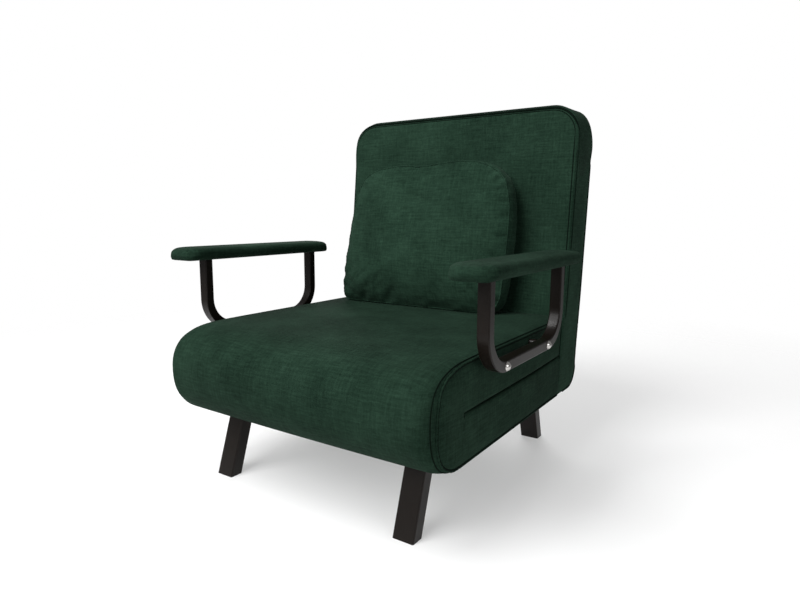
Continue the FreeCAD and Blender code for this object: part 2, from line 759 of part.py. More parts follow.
def hexagon(name, axis, radius, length, start):
    piece = doc.addObject("Part::Prism", name)
    piece.Polygon = 6
    bind(piece, Circumradius=radius, Height=length)
    piece.Placement = FreeCAD.Placement(Vector(), TURNS[axis])
    place(piece, start)
    return piece


def mirrored_hexagon(name, side, radius, near, far, centre):
    start = near if side > 0 else f"-({far})"
    return hexagon(name, "x", radius, f"({far}) - ({near})", (start, centre[0], centre[1]))


HANDS = (("left", -1), ("right", 1))


# Front hinges

def hinge_leaf(name, side, up, knuckles):
    """One leaf: a plate on the frame's front tube, and lugs that reach forward to its knuckles."""
    far_end = "leaf_low - flip_z" if up < 0 else "leaf_high - flip_z"
    near_end = f"{up} * 4 * knuckle_radius"
    face = "frame_front - flip_y"
    plate = [(f"flip_y + {face}", f"flip_z + {far_end}"),
             (f"flip_y + {face} - leaf_thickness", f"flip_z + {far_end}"),
             (f"flip_y + {face} - leaf_thickness", f"flip_z + {near_end}"),
             (f"flip_y + {face}", f"flip_z + {near_end}")]
    centre = f"{side} * hinge_centre"
    pieces = [profile_body(name + "Plate", plate, "3 * knuckle_length + 2 * knuckle_gap", centre)]
    lug = [(f"flip_y + {face}", f"flip_z + {near_end}"),
           (f"flip_y + {face}", f"flip_z + {up} * (section_gap + flip_z - slit_height + leaf_thickness)"),
           ("-front_depth", f"flip_z + {up} * (section_gap + flip_z - slit_height)"),
           ("flip_y + 0.7 * knuckle_radius", "flip_z"),
           ("flip_y - 0.9 * knuckle_radius", f"flip_z + {up} * 0.2 * knuckle_radius"),
           (f"flip_y + {face} - leaf_thickness", f"flip_z + {near_end}")]
    for number, step in enumerate(knuckles):
        middle = f"{centre} + {step} * (knuckle_length + knuckle_gap)"
        pieces.append(profile_body(f"{name}Lug{number}", lug, "knuckle_length", middle))
        pieces.append(rod(f"{name}Barrel{number}", "x", "knuckle_radius", "knuckle_length",
                          (f"{middle} - knuckle_length / 2", "flip_y", "flip_z")))
    bore = rod(name + "Bore", "x", "hinge_pin_radius + fit_gap", "5 * knuckle_length",
               (f"{centre} - 2.5 * knuckle_length", "flip_y", "flip_z"))
    return cut(name, joined(name + "Welded", pieces), [bore])


def make_front_hinges():
    for hand, side in HANDS:
        title = hand.title()
        deliver(hinge_leaf(f"BaseLeaf{title}", side, -1, (-1, 1)), f"base_hinge_leaf_{hand}")
        deliver(hinge_leaf(f"SeatLeaf{title}", side, 1, (0,)), f"seat_hinge_leaf_{hand}")
    pins = [rod(f"HingePin{side + 1}", "x", "hinge_pin_radius", "3 * knuckle_length + 2 * knuckle_gap",
                (f"{side} * hinge_centre - 1.5 * knuckle_length - knuckle_gap", "flip_y", "flip_z"))
            for hand, side in HANDS]
    deliver(group("HingePins", pins), "hinge_pins")


# Recline hinges

POSITIONS = 5
FRAME_BOLTS = (1.36, 1.82)


def make_recline_hinges():
    bolts = []
    nuts = []
    frame_bolts = []
    for hand, side in HANDS:
        title = hand.title()
        centre = ("recline_y", "recline_z")
        disc = mirrored_rod(f"SectorDisc{title}", side, "sector_radius", "sector_x",
                            "sector_x + sector_thickness", centre)
        cuts = [mirrored_rod(f"SectorBore{title}", side, "recline_bolt_radius + fit_gap", "sector_x - 1",
                             "sector_x + sector_thickness + 1", centre)]
        for number in range(POSITIONS):
            turn = f"(back_lean + {number} * (90 - back_lean) / {POSITIONS - 1})"
            spot = (f"recline_y + sector_radius * sin({turn})", f"recline_z + sector_radius * cos({turn})")
            cuts.append(mirrored_rod(f"Notch{title}{number}", side, "notch_radius", "sector_x - 1",
                                     "sector_x + sector_thickness + 1", spot))
        cuts.append(mirrored_box(f"SectorFoot{title}", side, "sector_x - 1",
                                 "sector_x + sector_thickness + 1",
                                 ("4 * sector_radius", "2 * sector_radius"),
                                 ("recline_y - 2 * sector_radius", "base_frame_z - 2 * sector_radius")))
        deliver(cut(f"Sector{title}", disc, cuts), f"recline_sector_{hand}")

        outline = [("-arm_plate_width / 2", "0"), ("arm_plate_width / 2", "0"),
                   ("arm_plate_width / 2", "base_rear - recline_y + 4 * body_gap"),
                   ("back_frame_depth + tube_side", "back_frame_low - foam_gap"),
                   ("back_frame_depth + tube_side", "2 * back_frame_low"),
                   ("back_frame_depth - leaf_thickness", "2 * back_frame_low"),
                   ("-arm_plate_width / 2", "back_frame_low")]
        middle = f"{side} * (arm_plate_x + arm_plate_thickness / 2)"
        plate = profile_body(f"ReclinePlate{title}", outline, "arm_plate_thickness", middle)
        eye = mirrored_rod(f"ReclineEye{title}", side, "arm_plate_width / 2", "arm_plate_x",
                           "arm_plate_x + arm_plate_thickness", ("0", "0"))
        holes = [mirrored_rod(f"ReclineBore{title}", side, "recline_bolt_radius + fit_gap", "arm_plate_x - 1",
                              "arm_plate_x + arm_plate_thickness + 1", ("0", "0"))]
        spots = [("back_frame_depth + tube_side / 2", f"back_frame_low * {share}") for share in FRAME_BOLTS]
        for number, spot in enumerate(spots):
            holes.append(mirrored_rod(f"ReclineHole{title}{number}", side, "plate_bolt_radius + fit_gap",
                                      "arm_plate_x - 1", "arm_plate_x + arm_plate_thickness + 1", spot))
            outer = "arm_plate_x + arm_plate_thickness"
            shank = mirrored_rod(f"FrameShank{title}{number}", side, "plate_bolt_radius",
                                 "arm_plate_x - tube_side - head_height", outer, spot)
            head = mirrored_hexagon(f"FrameHead{title}{number}", side, "1.6 * plate_bolt_radius",
                                    outer, f"{outer} + head_height", spot)
            frame_bolts.append(joined(f"FrameBolt{title}{number}", [shank, head]))
        deliver(cut(f"ReclineArm{title}", joined(f"ReclineBlank{title}", [plate, eye]), holes),
                f"recline_arm_{hand}", "back")

        tip = "sector_radius + body_gap"
        shoulder = f"{tip} + 3 * notch_radius"
        pawl = [("-notch_radius * 0.8", tip), ("notch_radius * 0.8", tip), ("arm_plate_width / 5", shoulder),
                ("arm_plate_width / 5", f"{shoulder} + 3 * notch_radius"),
                ("-arm_plate_width / 5", f"{shoulder} + 3 * notch_radius"),
                ("-arm_plate_width / 5", shoulder)]
        tooth = profile_body(f"PawlBody{title}", pawl, "sector_thickness",
                             f"{side} * (arm_plate_x - sector_thickness / 2)")
        deliver(group(f"Pawl{title}", [tooth]), f"recline_pawl_{hand}", "back")

        near = "sector_x - tube_side - head_height"
        shank = mirrored_rod(f"PivotShank{title}", side, "recline_bolt_radius", near,
                             "arm_plate_x + arm_plate_thickness + plate_gap", centre)
        head = mirrored_hexagon(f"PivotHead{title}", side, "1.7 * recline_bolt_radius",
                                "arm_plate_x + arm_plate_thickness + plate_gap",
                                "arm_plate_x + arm_plate_thickness + plate_gap + head_height", centre)
        bolts.append(joined(f"PivotBolt{title}", [shank, head]))
        blank = mirrored_hexagon(f"PivotNutBlank{title}", side, "1.7 * recline_bolt_radius", near,
                                 "sector_x - tube_side", centre)
        nuts.append(cut(f"PivotNut{title}", blank, [
            mirrored_rod(f"PivotNutBore{title}", side, "recline_bolt_radius + fit_gap", f"{near} - 1",
                         "sector_x - tube_side + 1", centre)]))
    deliver(group("PivotBolts", bolts), "recline_pivot_bolts")
    deliver(group("PivotNuts", nuts), "recline_pivot_nuts")
    deliver(group("ReclineFrameBolts", frame_bolts), "recline_arm_bolts", "back")


# Arms

def arm_outline(inset, top):
    """The arm frame's side profile: a broad U of tube, drawn in by inset."""
    front = f"-arm_front + {inset}"
    rear = f"arm_rear - {inset}"
    low = f"arm_bar_bottom + {inset}"
    depth = f"arm_tube_depth - 2 * ({inset})"
    return [(front, top), (front, low), (rear, low), (rear, top),
            (f"{rear} - ({depth})", top), (f"{rear} - ({depth})", f"{low} + {depth}"),
            (f"{front} + {depth}", f"{low} + {depth}"), (f"{front} + {depth}", top)]


def arm_bar_body(name, side, inset, width, top):
    """The U with its two lower corners rounded inside and out."""
    body = profile_body(name, arm_outline(inset, top), width, f"{side} * arm_centre")
    low = size("arm_bar_bottom") + (size("arm_wall") if inset != "0" else 0)
    limit = low + size("arm_tube_depth") / 2
    round_edges(body, name + "OuterBend", f"arm_bend - ({inset})",
                lambda edge: runs_across(edge) and edge.Vertexes[0].Point.z < limit)
    inner = size("arm_bar_bottom") + 1.5 * size("arm_tube_depth")
    round_edges(body, name + "InnerBend", f"arm_bend - arm_tube_depth + {inset}",
                lambda edge: runs_across(edge) and limit < edge.Vertexes[0].Point.z < inner
                and edge.BoundBox.ZLength < 1e-6 and is_inner_corner(edge))
    return body


def is_inner_corner(edge):
    """True for the edge where the bar's top meets an upright."""
    y = edge.Vertexes[0].Point.y
    gap = size("arm_tube_depth")
    near_front = abs(y + size("arm_front") - gap) < size("arm_wall") + 1e-3
    near_rear = abs(y - size("arm_rear") + gap) < size("arm_wall") + 1e-3
    return near_front or near_rear


UPRIGHTS = ("-arm_front + arm_tube_depth / 2", "arm_rear - arm_tube_depth / 2")
ARM_BOLTS = ("-bolt_front", "bolt_rear")


def make_arm(hand, side):
    title = hand.title()
    outer = arm_bar_body(f"ArmTube{title}", side, "0", "arm_tube_width", "board_z")
    flank = size("arm_tube_width") / 2
    round_edges(outer, f"ArmEdges{title}", "arm_edge", lambda edge: all(
        abs(abs(point.Point.x) - flank) < 1e-3 for point in edge.Vertexes)
        and edge.BoundBox.XLength < 1e-3 and edge.BoundBox.ZLength + edge.BoundBox.YLength > 2 * flank)
    bore = arm_bar_body(f"ArmBore{title}", side, "arm_wall", "arm_tube_width - 2 * arm_wall", "board_z")
    tube = cut(f"ArmHollow{title}", outer, [bore])
    pieces = [tube]
    holes = []
    centre = f"{side} * arm_centre"
    for number, line in enumerate(UPRIGHTS):
        pieces.append(box(f"ArmEnd{title}{number}",
                          ("arm_tube_width - arm_wall", "arm_tube_depth - arm_wall", "plate_thickness"),
                          (f"{centre} - arm_tube_width / 2 + arm_wall / 2",
                           f"{line} - arm_tube_depth / 2 + arm_wall / 2", "board_z - plate_thickness")))
        holes.append(rod(f"ArmEndHole{title}{number}", "z", "screw_radius + fit_gap", "3 * plate_thickness",
                         (centre, line, "board_z - 2 * plate_thickness")))
    for number, line in enumerate(ARM_BOLTS):
        holes.append(mirrored_rod(f"ArmBoltHole{title}{number}", side, "bolt_radius + fit_gap",
                                  "arm_centre - arm_tube_width", "arm_centre + arm_tube_width",
                                  (line, "bar_z")))
    deliver(cut(f"ArmFrame{title}", joined(f"ArmWelded{title}", pieces), holes), f"arm_frame_{hand}")

    length = "pad_front + pad_rear - 2 * board_margin"
    corner = (f"{centre} - board_width / 2", "board_margin - pad_front", "board_z")
    board = box(f"ArmBoardBlank{title}", ("board_width", length, "board_thickness"), corner)
    sinks = []
    screws = []
    for number, line in enumerate(UPRIGHTS):
        sinks.append(rod(f"ArmBoardHole{title}{number}", "z", "screw_radius + fit_gap", "3 * board_thickness",
                         (centre, line, "board_z - board_thickness")))
        seat = (centre, line, "board_z + board_thickness - screw_radius")
        sinks.append(screw_cone(f"ArmBoardSink{title}{number}", "screw_radius + fit_gap",
                                "2 * screw_radius + fit_gap", "screw_radius", seat))
        shank = rod(f"ArmScrewShank{title}{number}", "z", "screw_radius",
                    "board_thickness + 3 * plate_thickness", (centre, line, "board_z - 3 * plate_thickness"))
        cone = screw_cone(f"ArmScrewHead{title}{number}", "screw_radius", "2 * screw_radius", "screw_radius",
                          seat)
        screws.append(joined(f"ArmScrew{title}{number}", [shank, cone]))
    deliver(cut(f"ArmBoard{title}", board, sinks), f"arm_board_{hand}")

    pad = doc.addObject("PartDesign::Body", f"ArmPadBody{title}")
    block = pad.newObject("PartDesign::Pad", f"ArmPadBlock{title}")
    half = "pad_width / 2"
    block.Profile = polygon_sketch(pad, f"ArmPadPlan{title}", "XY_Plane", [
        (f"-{half}", "-pad_front"), (half, "-pad_front"), (half, "pad_rear"), (f"-{half}", "pad_rear")])
    bind(block, Length="pad_thickness")
    place(pad, (centre, "0", "pad_bottom"))
    doc.recompute()
    round_edges(pad, f"ArmPadEnds{title}", "pad_corner",
                lambda edge: abs(edge.BoundBox.ZLength - size("pad_thickness")) < 1e-3)
    top_height = size("pad_thickness")
    round_edges(pad, f"ArmPadTop{title}", "pad_edge",
                lambda edge: edge.BoundBox.ZLength < 1e-3 and edge.Vertexes[0].Point.z > top_height - 1e-3)
    round_edges(pad, f"ArmPadUnder{title}", "pad_edge / 2",
                lambda edge: edge.BoundBox.ZLength < 1e-3 and edge.Vertexes[0].Point.z < 1e-3)
    hollow = [box(f"ArmPadHollow{title}", ("board_width + 2 * foam_gap", f"{length} + 2 * foam_gap",
                                          "board_thickness + foam_gap"),
                  (f"{corner[0]} - foam_gap", f"{corner[1]} - foam_gap", "board_z"))]
    for number, line in enumerate(UPRIGHTS):
        hollow.append(box(f"ArmPadSocket{title}{number}",
                          ("arm_tube_width + 2 * foam_gap", "arm_tube_depth + 2 * foam_gap", "2 * pad_skin"),
                          (f"{centre} - arm_tube_width / 2 - foam_gap",
                           f"{line} - arm_tube_depth / 2 - foam_gap", "pad_bottom - pad_skin")))
    deliver(cut(f"ArmPad{title}", pad, hollow), f"arm_pad_{hand}")
    return screws


def screw_cone(name, small, large, height, start):
    piece = doc.addObject("Part::Cone", name)
    bind(piece, Radius1=small, Radius2=large, Height=height)
    place(piece, start)
    return piece


def domed_head(name, side, line):
    """A low dome on the arm tube's outer face."""
    head = doc.addObject("Part::Sphere", name)
    ball = "((bolt_head_radius ^ 2 + bolt_head_height ^ 2) / (2 * bolt_head_height))"
    bind(head, Radius=ball, Angle1=f"asin(({ball} - bolt_head_height) / {ball})")
    head.Placement = FreeCAD.Placement(Vector(), FreeCAD.Rotation(Vector(0, 1, 0), 90 * side))
    place(head, (f"{side} * (arm_centre + arm_tube_width / 2 + bolt_head_height - {ball})", line, "bar_z"))
    return head


def make_arms():
    screws = []
    spacers = []
    bolts = []
    nuts = []
    for hand, side in HANDS:
        screws += make_arm(hand, side)
        for number, line in enumerate(ARM_BOLTS):
            label = f"{hand.title()}{number}"
            spot = (line, "bar_z")
            inner = "seat_frame_width / 2"
            outer = "arm_centre - arm_tube_width / 2"
            sleeve = mirrored_rod(f"Spacer{label}Outer", side, "spacer_radius", inner, outer, spot)
            bore = mirrored_rod(f"Spacer{label}Bore", side, "bolt_radius + fit_gap", f"{inner} - 1",
                                f"{outer} + 1", spot)
            spacers.append(cut(f"Spacer{label}", sleeve, [bore]))
            shank = mirrored_rod(f"ArmBoltShank{label}", side, "bolt_radius",
                                 f"{inner} - tube_side - 1.5 * head_height",
                                 "arm_centre + arm_tube_width / 2", spot)
            bolts.append(joined(f"ArmBolt{label}", [shank, domed_head(f"ArmBoltHead{label}", side, line)]))
            blank = mirrored_hexagon(f"ArmNutBlank{label}", side, "1.7 * bolt_radius",
                                     f"{inner} - tube_side - head_height", f"{inner} - tube_side", spot)
            nuts.append(cut(f"ArmNut{label}", blank, [
                mirrored_rod(f"ArmNutBore{label}", side, "bolt_radius + fit_gap",
                             f"{inner} - tube_side - 2 * head_height", inner, spot)]))
    deliver(group("ArmScrews", screws), "arm_board_screws")
    deliver(group("ArmSpacers", spacers), "arm_spacers")
    deliver(group("ArmBolts", bolts), "arm_bolts")
    deliver(group("ArmNuts", nuts), "arm_nuts")


# Prop

def prop_path(z_top, z_bar):
    """Down one side, across and up the other, with round corners."""
    half = size("prop_spread")
    bend = size("prop_bend")
    quarter = bend * (1 - math.sqrt(0.5))
    corners = [Vector(-half, 0, z_top), Vector(-half, 0, z_bar + bend), Vector(bend - half, 0, z_bar),
               Vector(half - bend, 0, z_bar), Vector(half, 0, z_bar + bend), Vector(half, 0, z_top)]
    middles = {1: Vector(quarter - half, 0, z_bar + quarter), 3: Vector(half - quarter, 0, z_bar + quarter)}
    edges = []
    for k, start in enumerate(corners[:-1]):
        if k in middles:
            edges.append(Part.Arc(start, middles[k], corners[k + 1]).toShape())
        else:
            edges.append(Part.LineSegment(start, corners[k + 1]).toShape())
    return Part.Wire(edges)


def round_pipe(path, radius):
    start = path.Vertexes[0].Point
    ring = Part.Wire(Part.makeCircle(radius, start, Vector(0, 0, 1)))
    return path.makePipeShell([ring], True, False)


def make_prop():
    radius = size("prop_radius")
    top = size("ear_radius") + size("body_gap")
    bar = size("prop_foot_thickness") + radius - size("prop_reach")
    path = prop_path(top, bar)
    tube = round_pipe(path, radius).cut(round_pipe(path, radius - size("prop_wall")))
    spread = size("prop_spread")
    hole = Part.makeCylinder(size("prop_pin_radius") + size("fit_gap"), 4 * spread,
                             Vector(-2 * spread, 0, 0), Vector(1, 0, 0))
    leg = doc.addObject("Part::Feature", "PropLeg")
    leg.Shape = tube.cut(hole)
    deliver(leg, "prop_leg", "prop")

    glides = []
    for hand, side in HANDS:
        pad = box(f"PropGlideBlank{hand}", ("4 * prop_radius", "2 * prop_radius", "prop_radius"),
                  (f"{side} * prop_spread * 0.6 - 2 * prop_radius", "-prop_radius", "-prop_reach"))
        bed = rod(f"PropGlideBed{hand}", "x", "prop_radius + fit_gap", "8 * prop_radius",
                  (f"{side} * prop_spread * 0.6 - 4 * prop_radius", "0",
                   "prop_foot_thickness + prop_radius - prop_reach"))
        glides.append(cut(f"PropGlide{hand}", pad, [bed]))
    deliver(group("PropGlides", glides), "prop_glides", "prop")

    pins = []
    for hand, side in HANDS:
        middle = f"{side} * prop_spread"
        face = "back_frame_depth + tube_side"
        plate = box(f"BracketPlate{hand}", ("4 * prop_radius", "plate_thickness", "6 * prop_radius"),
                    (f"{middle} - 2 * prop_radius", face, "prop_height - 3 * prop_radius"))
        pieces = [plate]
        for way in (-1, 1):
            start = f"{middle} + {way} * (prop_radius + knuckle_gap)"
            if way < 0:
                start += " - plate_thickness"
            pieces.append(box(f"BracketEar{hand}{way + 1}",
                              ("plate_thickness", f"prop_depth - ({face})", "2 * ear_radius"),
                              (start, face, "prop_height - ear_radius")))
            pieces.append(rod(f"BracketEye{hand}{way + 1}", "x", "ear_radius", "plate_thickness",
                              (start, "prop_depth", "prop_height")))
        bore = rod(f"BracketBore{hand}", "x", "prop_pin_radius + fit_gap", "8 * prop_radius",
                   (f"{middle} - 4 * prop_radius", "prop_depth", "prop_height"))
        bracket = cut(f"PropBracket{hand}", joined(f"BracketWelded{hand}", pieces), [bore])
        deliver(bracket, f"prop_bracket_{hand}", "back")
        pins.append(rod(f"PropPin{hand}", "x", "prop_pin_radius", "3.4 * prop_radius",
                        (f"{middle} - 1.7 * prop_radius", "prop_depth", "prop_height")))
    deliver(group("PropPins", pins), "prop_pins", "back")


# Pillow

def pillow_section(share, inset, lift):
    """The pillow's outline at a share of its half-width: two bowed faces and a boxed border."""
    power = size("pillow_squareness")
    tall = (size("pillow_height") / 2 - inset) * (1 - abs(share) ** power) ** (1 / power)
    fullness = (1 - abs(share) ** 2.4) ** 0.75
    border = size("pillow_border") / 2 - inset
    bow = border + (size("pillow_thickness") - size("pillow_border")) / 2 * fullness
    middle = lift + size("pillow_height") / 2
    place_x = share * (size("pillow_width") / 2 - inset) - size("pillow_offset")
    depth = -size("back_ahead") - size("pillow_rest") - size("pillow_thickness") / 2

    def at(y, z):
        return Vector(place_x, depth + y, middle + z)

    return Part.Wire([
        Part.LineSegment(at(-border, -tall), at(border, -tall)).toShape(),
        Part.Arc(at(border, -tall), at(bow, 0), at(border, tall)).toShape(),
        Part.LineSegment(at(border, tall), at(-border, tall)).toShape(),
        Part.Arc(at(-border, tall), at(-bow, 0), at(-border, -tall)).toShape(),
    ])


PILLOW_STATIONS = (-0.985, -0.94, -0.86, -0.7, -0.35, 0, 0.35, 0.7, 0.86, 0.94, 0.985)


def pillow_solid(inset, lift):
    return Part.makeLoft([pillow_section(share, inset, lift) for share in PILLOW_STATIONS], True, False)


def make_pillow():
    skin = size("cover_thickness")
    lean = math.radians(size("back_lean"))
    foot = size("seat_top") + size("pillow_rest") - size("recline_z")
    ahead = size("back_ahead") + size("pillow_rest") + (size("pillow_thickness") - size("pillow_border")) / 2
    lift = (foot - ahead * math.sin(lean)) / math.cos(lean)
    for kind, shape in (("cover", pillow_solid(0, lift).cut(pillow_solid(skin, lift))),
                        ("filling", pillow_solid(skin + size("foam_gap"), lift))):
        piece = doc.addObject("Part::Feature", "Pillow" + kind.title())
        piece.Shape = shape
        deliver(piece, f"pillow_{kind}", "back")


# Sections with their frames

def make_base():
    make_base_frame()
    low = "base_frame_z + tube_side"
    straps = flat_straps("BaseWebbing", "base_frame_width", "frame_front", "base_frame_rear", low, "+")
    deliver(straps, "base_webbing")
    frame_low = size("base_bottom")
    gap = size("foam_gap")
    half = size("base_frame_width") / 2 + gap
    front = size("frame_front") - gap
    height = size("base_frame_z") + size("tube_side") + 2 * size("strap_thickness") + gap - frame_low
    well = box_shape((2 * half, size("base_frame_rear") + gap - front, height), (-half, front, frame_low))
    openings = hinge_windows(size("leaf_low") - gap, size("slit_height") + size("tube_side"),
                             size("barrel_room"))
    openings += recline_slots() + leg_openings()
    soft_pair("base", base_section, openings, [well], "chair")


def make_wrap():
    """Padded cover that runs over the front of both sections, with pockets for the hinges."""
    rear = -size("front_depth")
    front = rear - size("wrap_depth")
    high = size("wrap_top")
    low = size("wrap_low")
    half = size("half_width") - size("side_bulge")
    points = [(rear, low), (rear, high)]
    outline = outline_wire(points, {1: (front, (low + high) / 2)}, side_plane(-half))
    shape = Part.Face(outline).extrude(Vector(2 * half, 0, 0))
    windows = []
    for reach, ahead in ((1.4, size("barrel_room")), (2.1, -size("knuckle_radius") / 2)):
        reach *= size("knuckle_radius")
        windows += hinge_windows(size("flip_z") - reach, size("flip_z") + reach, ahead)
    shape = shape.cut(windows)
    piece = doc.addObject("Part::Feature", "FrontWrap")
    piece.Shape = shape
    deliver(piece, "front_wrap")


def make_seat():
    cross = ["frame_front", "seat_frame_rear - tube_side",
             "(frame_front + seat_frame_rear - tube_side) / 2"]
    frame = flat_frame("SeatFrame", "seat_frame_width", "frame_front", "seat_frame_rear", "seat_frame_z",
                       cross)
    holes = []
    for hand, side in HANDS:
        for number, line in enumerate(ARM_BOLTS):
            holes.append(mirrored_rod(f"SeatFrameHole{hand}{number}", side, "bolt_radius + fit_gap",
                                      "seat_frame_width / 2 - tube_side - 1", "seat_frame_width / 2 + 1",
                                      (line, "bar_z")))
    deliver(cut("SeatFrame", frame, holes), "seat_frame")
    deliver(flat_straps("SeatWebbing", "seat_frame_width", "frame_front", "seat_frame_rear",
                        "seat_frame_z - strap_thickness", "-"), "seat_webbing")
    gap = size("foam_gap")
    half = size("seat_frame_width") / 2 + gap
    front = size("frame_front") - gap
    length = size("seat_frame_rear") + gap - front
    side = size("tube_side")
    bed = size("seat_frame_z") - 2 * size("strap_thickness") - gap
    top = size("seat_frame_z") + side + gap
    core = [box_shape((2 * half, length, size("seat_frame_z") + gap - bed), (-half, front, bed))]
    core += mirrored_shapes(half - side - 2 * gap, half, (length, top - bed), (front, bed))
    middle = (size("frame_front") + size("seat_frame_rear") - side) / 2
    for line in (front, size("seat_frame_rear") - side - gap, middle - gap):
        core.append(box_shape((2 * half, side + 2 * gap, top - bed), (-half, line, bed)))
    openings = hinge_windows(size("slit_height") - side, size("leaf_high") + gap, size("barrel_room"))
    inner = size("seat_frame_width") / 2
    reach = size("arm_centre") - size("arm_tube_width") / 2 - inner
    for line in (-size("bolt_front"), size("bolt_rear")):
        for start in (inner, -inner - reach):
            openings.append(Part.makeCylinder(size("spacer_radius") + gap, reach,
                                              Vector(start, line, size("bar_z")), Vector(1, 0, 0)))
            near = inner - side - 2 * size("head_height")
        for start in (near, -inner):
            core.append(Part.makeCylinder(2 * size("bolt_radius"), inner - near,
                                          Vector(start, line, size("bar_z")), Vector(1, 0, 0)))
    soft_pair("seat", seat_section, openings, core, "chair")


def make_back():
    lines = ["back_frame_low", "prop_height - tube_side / 2", "back_frame_top - tube_side"]
    frame = upright_frame("BackFrame", "back_frame_width", "back_frame_low", "back_frame_top",
                          "back_frame_depth", lines)
    holes = []
    for hand, side in HANDS:
        for number, share in enumerate(FRAME_BOLTS):
            holes.append(mirrored_rod(f"BackFrameHole{hand}{number}", side, "plate_bolt_radius + fit_gap",
                                      "arm_plate_x - tube_side - 1", "arm_plate_x + 1",
                                      ("back_frame_depth + tube_side / 2", f"back_frame_low * {share}")))
    deliver(cut("BackFrame", frame, holes), "back_frame", "back")

    height = "(back_frame_top - back_frame_low)"

    def across(label, layer, share):
        corner = ("-back_frame_width / 2 + tube_wall", layer,
                  f"back_frame_low + {height} * {share} - strap_width / 2")
        return box(label, ("back_frame_width - 2 * tube_wall", "strap_thickness", "strap_width"), corner)

    def along(label, layer, share):
        corner = (f"-back_frame_width / 2 + back_frame_width * {share} - strap_width / 2", layer,
                  "back_frame_low + tube_wall")
        return box(label, ("strap_width", "strap_thickness", f"{height} - 2 * tube_wall"), corner)

    first = "back_frame_depth - strap_thickness"
    straps = webbing("BackWebbing", across, along, first, f"{first} - strap_thickness")
    deliver(straps, "back_webbing", "back")

    gap = size("foam_gap")
    half = size("back_frame_width") / 2 + gap
    low = size("back_frame_low") - gap
    tall = size("back_frame_top") + gap - low
    side = size("tube_side")
    front = size("back_frame_depth") - 2 * size("strap_thickness") - gap
    rear = size("back_frame_depth") + side + gap
    core = [box_shape((2 * half, size("back_frame_depth") + gap - front, tall), (-half, front, low))]
    core += mirrored_shapes(half - side - 2 * gap, half, (rear - front, tall), (front, low))
    for line in (low, size("prop_height") - side / 2 - gap, size("back_frame_top") - side - gap):
        core.append(box_shape((2 * half, rear - front, side + 2 * gap), (-half, front, line)))
    near = size("arm_plate_x") - size("plate_gap") - size("sector_thickness")
    far = size("arm_plate_x") + size("arm_plate_thickness") + size("slot_head")
    width = size("arm_plate_width") / 2
    ends = size("back_frame_depth") + side + width + gap
    openings = mirrored_shapes(near, far, (ends, 2 * size("back_frame_low") + gap), (-width - gap, 0))
    core += mirrored_shapes(near - side - 2 * size("head_height"), near,
                            (2 * width, size("back_frame_low")),
                            (size("back_frame_depth") + side / 2 - width, 1.1 * size("back_frame_low")))
    radius = size("prop_radius")
    spread = size("prop_spread")
    openings += mirrored_shapes(spread - 2 * radius - gap, spread + 2 * radius + gap,
                                (size("prop_depth"), 6 * radius + 2 * gap),
                                (size("back_frame_depth") + side, size("prop_height") - 3 * radius - gap))
    soft_pair("back", back_section, openings, core, "back")


make_base()
make_legs()
make_front_hinges()
make_recline_hinges()
make_wrap()
make_seat()
make_arms()
make_back()
make_prop()
make_pillow()
doc.recompute()

for thing in doc.Objects:
    if "Invalid" in thing.State or "Error" in thing.State:
        raise RuntimeError(f"{thing.Name} is {thing.State}")
os.makedirs("parts", exist_ok=True)
for piece in subparts:
    shape = piece.Shape
    if shape.isNull() or not shape.isValid():
        raise RuntimeError(f"{piece.Label} has no valid shape")
for piece in subparts:
    piece.Shape.exportStep(f"parts/{piece.Label}.step")
    extent = piece.Shape.BoundBox
    print(piece.Label, len(piece.Shape.Solids), round(piece.Shape.Volume / 1000, 1), "cm3",
          [round(edge, 1) for edge in (extent.XMin, extent.XMax, extent.YMin, extent.YMax, extent.ZMin)],
          round(extent.ZMax, 1))
print(len(subparts), "sub-parts")
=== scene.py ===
import json
import math

import bmesh
import bpy
import numpy as np
from mathutils import Matrix, Vector, noise
from mathutils.bvhtree import BVHTree


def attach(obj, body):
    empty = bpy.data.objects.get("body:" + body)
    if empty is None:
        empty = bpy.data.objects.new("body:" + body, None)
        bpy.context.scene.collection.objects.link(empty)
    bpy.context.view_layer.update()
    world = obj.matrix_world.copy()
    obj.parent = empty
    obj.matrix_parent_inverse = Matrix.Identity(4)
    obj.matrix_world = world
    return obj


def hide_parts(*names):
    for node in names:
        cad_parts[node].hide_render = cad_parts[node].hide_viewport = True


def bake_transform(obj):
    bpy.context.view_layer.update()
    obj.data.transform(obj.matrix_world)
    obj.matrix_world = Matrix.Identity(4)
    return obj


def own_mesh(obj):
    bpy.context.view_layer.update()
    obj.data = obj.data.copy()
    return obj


# Looks of the fold-out sleeper chair. Outlines are in working millimetres: x across the chair, y to
# the rear and z up. row() takes them into the row frame, in metres.

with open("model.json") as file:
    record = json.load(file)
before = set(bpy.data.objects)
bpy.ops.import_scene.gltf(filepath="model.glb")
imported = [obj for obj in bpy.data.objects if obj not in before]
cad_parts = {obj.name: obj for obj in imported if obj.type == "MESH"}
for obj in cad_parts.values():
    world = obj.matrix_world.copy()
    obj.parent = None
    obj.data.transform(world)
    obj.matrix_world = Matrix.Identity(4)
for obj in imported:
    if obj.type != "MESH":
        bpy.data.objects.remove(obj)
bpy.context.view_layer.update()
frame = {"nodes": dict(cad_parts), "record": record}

SHIFT = -67.669  # from working y to the row frame's y
PIVOT = (325.198, 163.582)  # the recline hinge's line, as y and z
LEAN = math.radians(5.62)
AHEAD = 65.418  # from the recline line to the back's front
BEHIND = 51.582  # to its rear
REACH = 642.507  # and along the back to its top
HOLLOW = 88.738  # radius of the hollow below the back
SEAM = 312.0  # half the width between the side seams
SLIT = 229.0  # height of the slit between base and seat
SEAT_HIGH = 314.0  # height of the seat's side seams
BASE_LOW = 139.4  # lower edge of the base's side panels
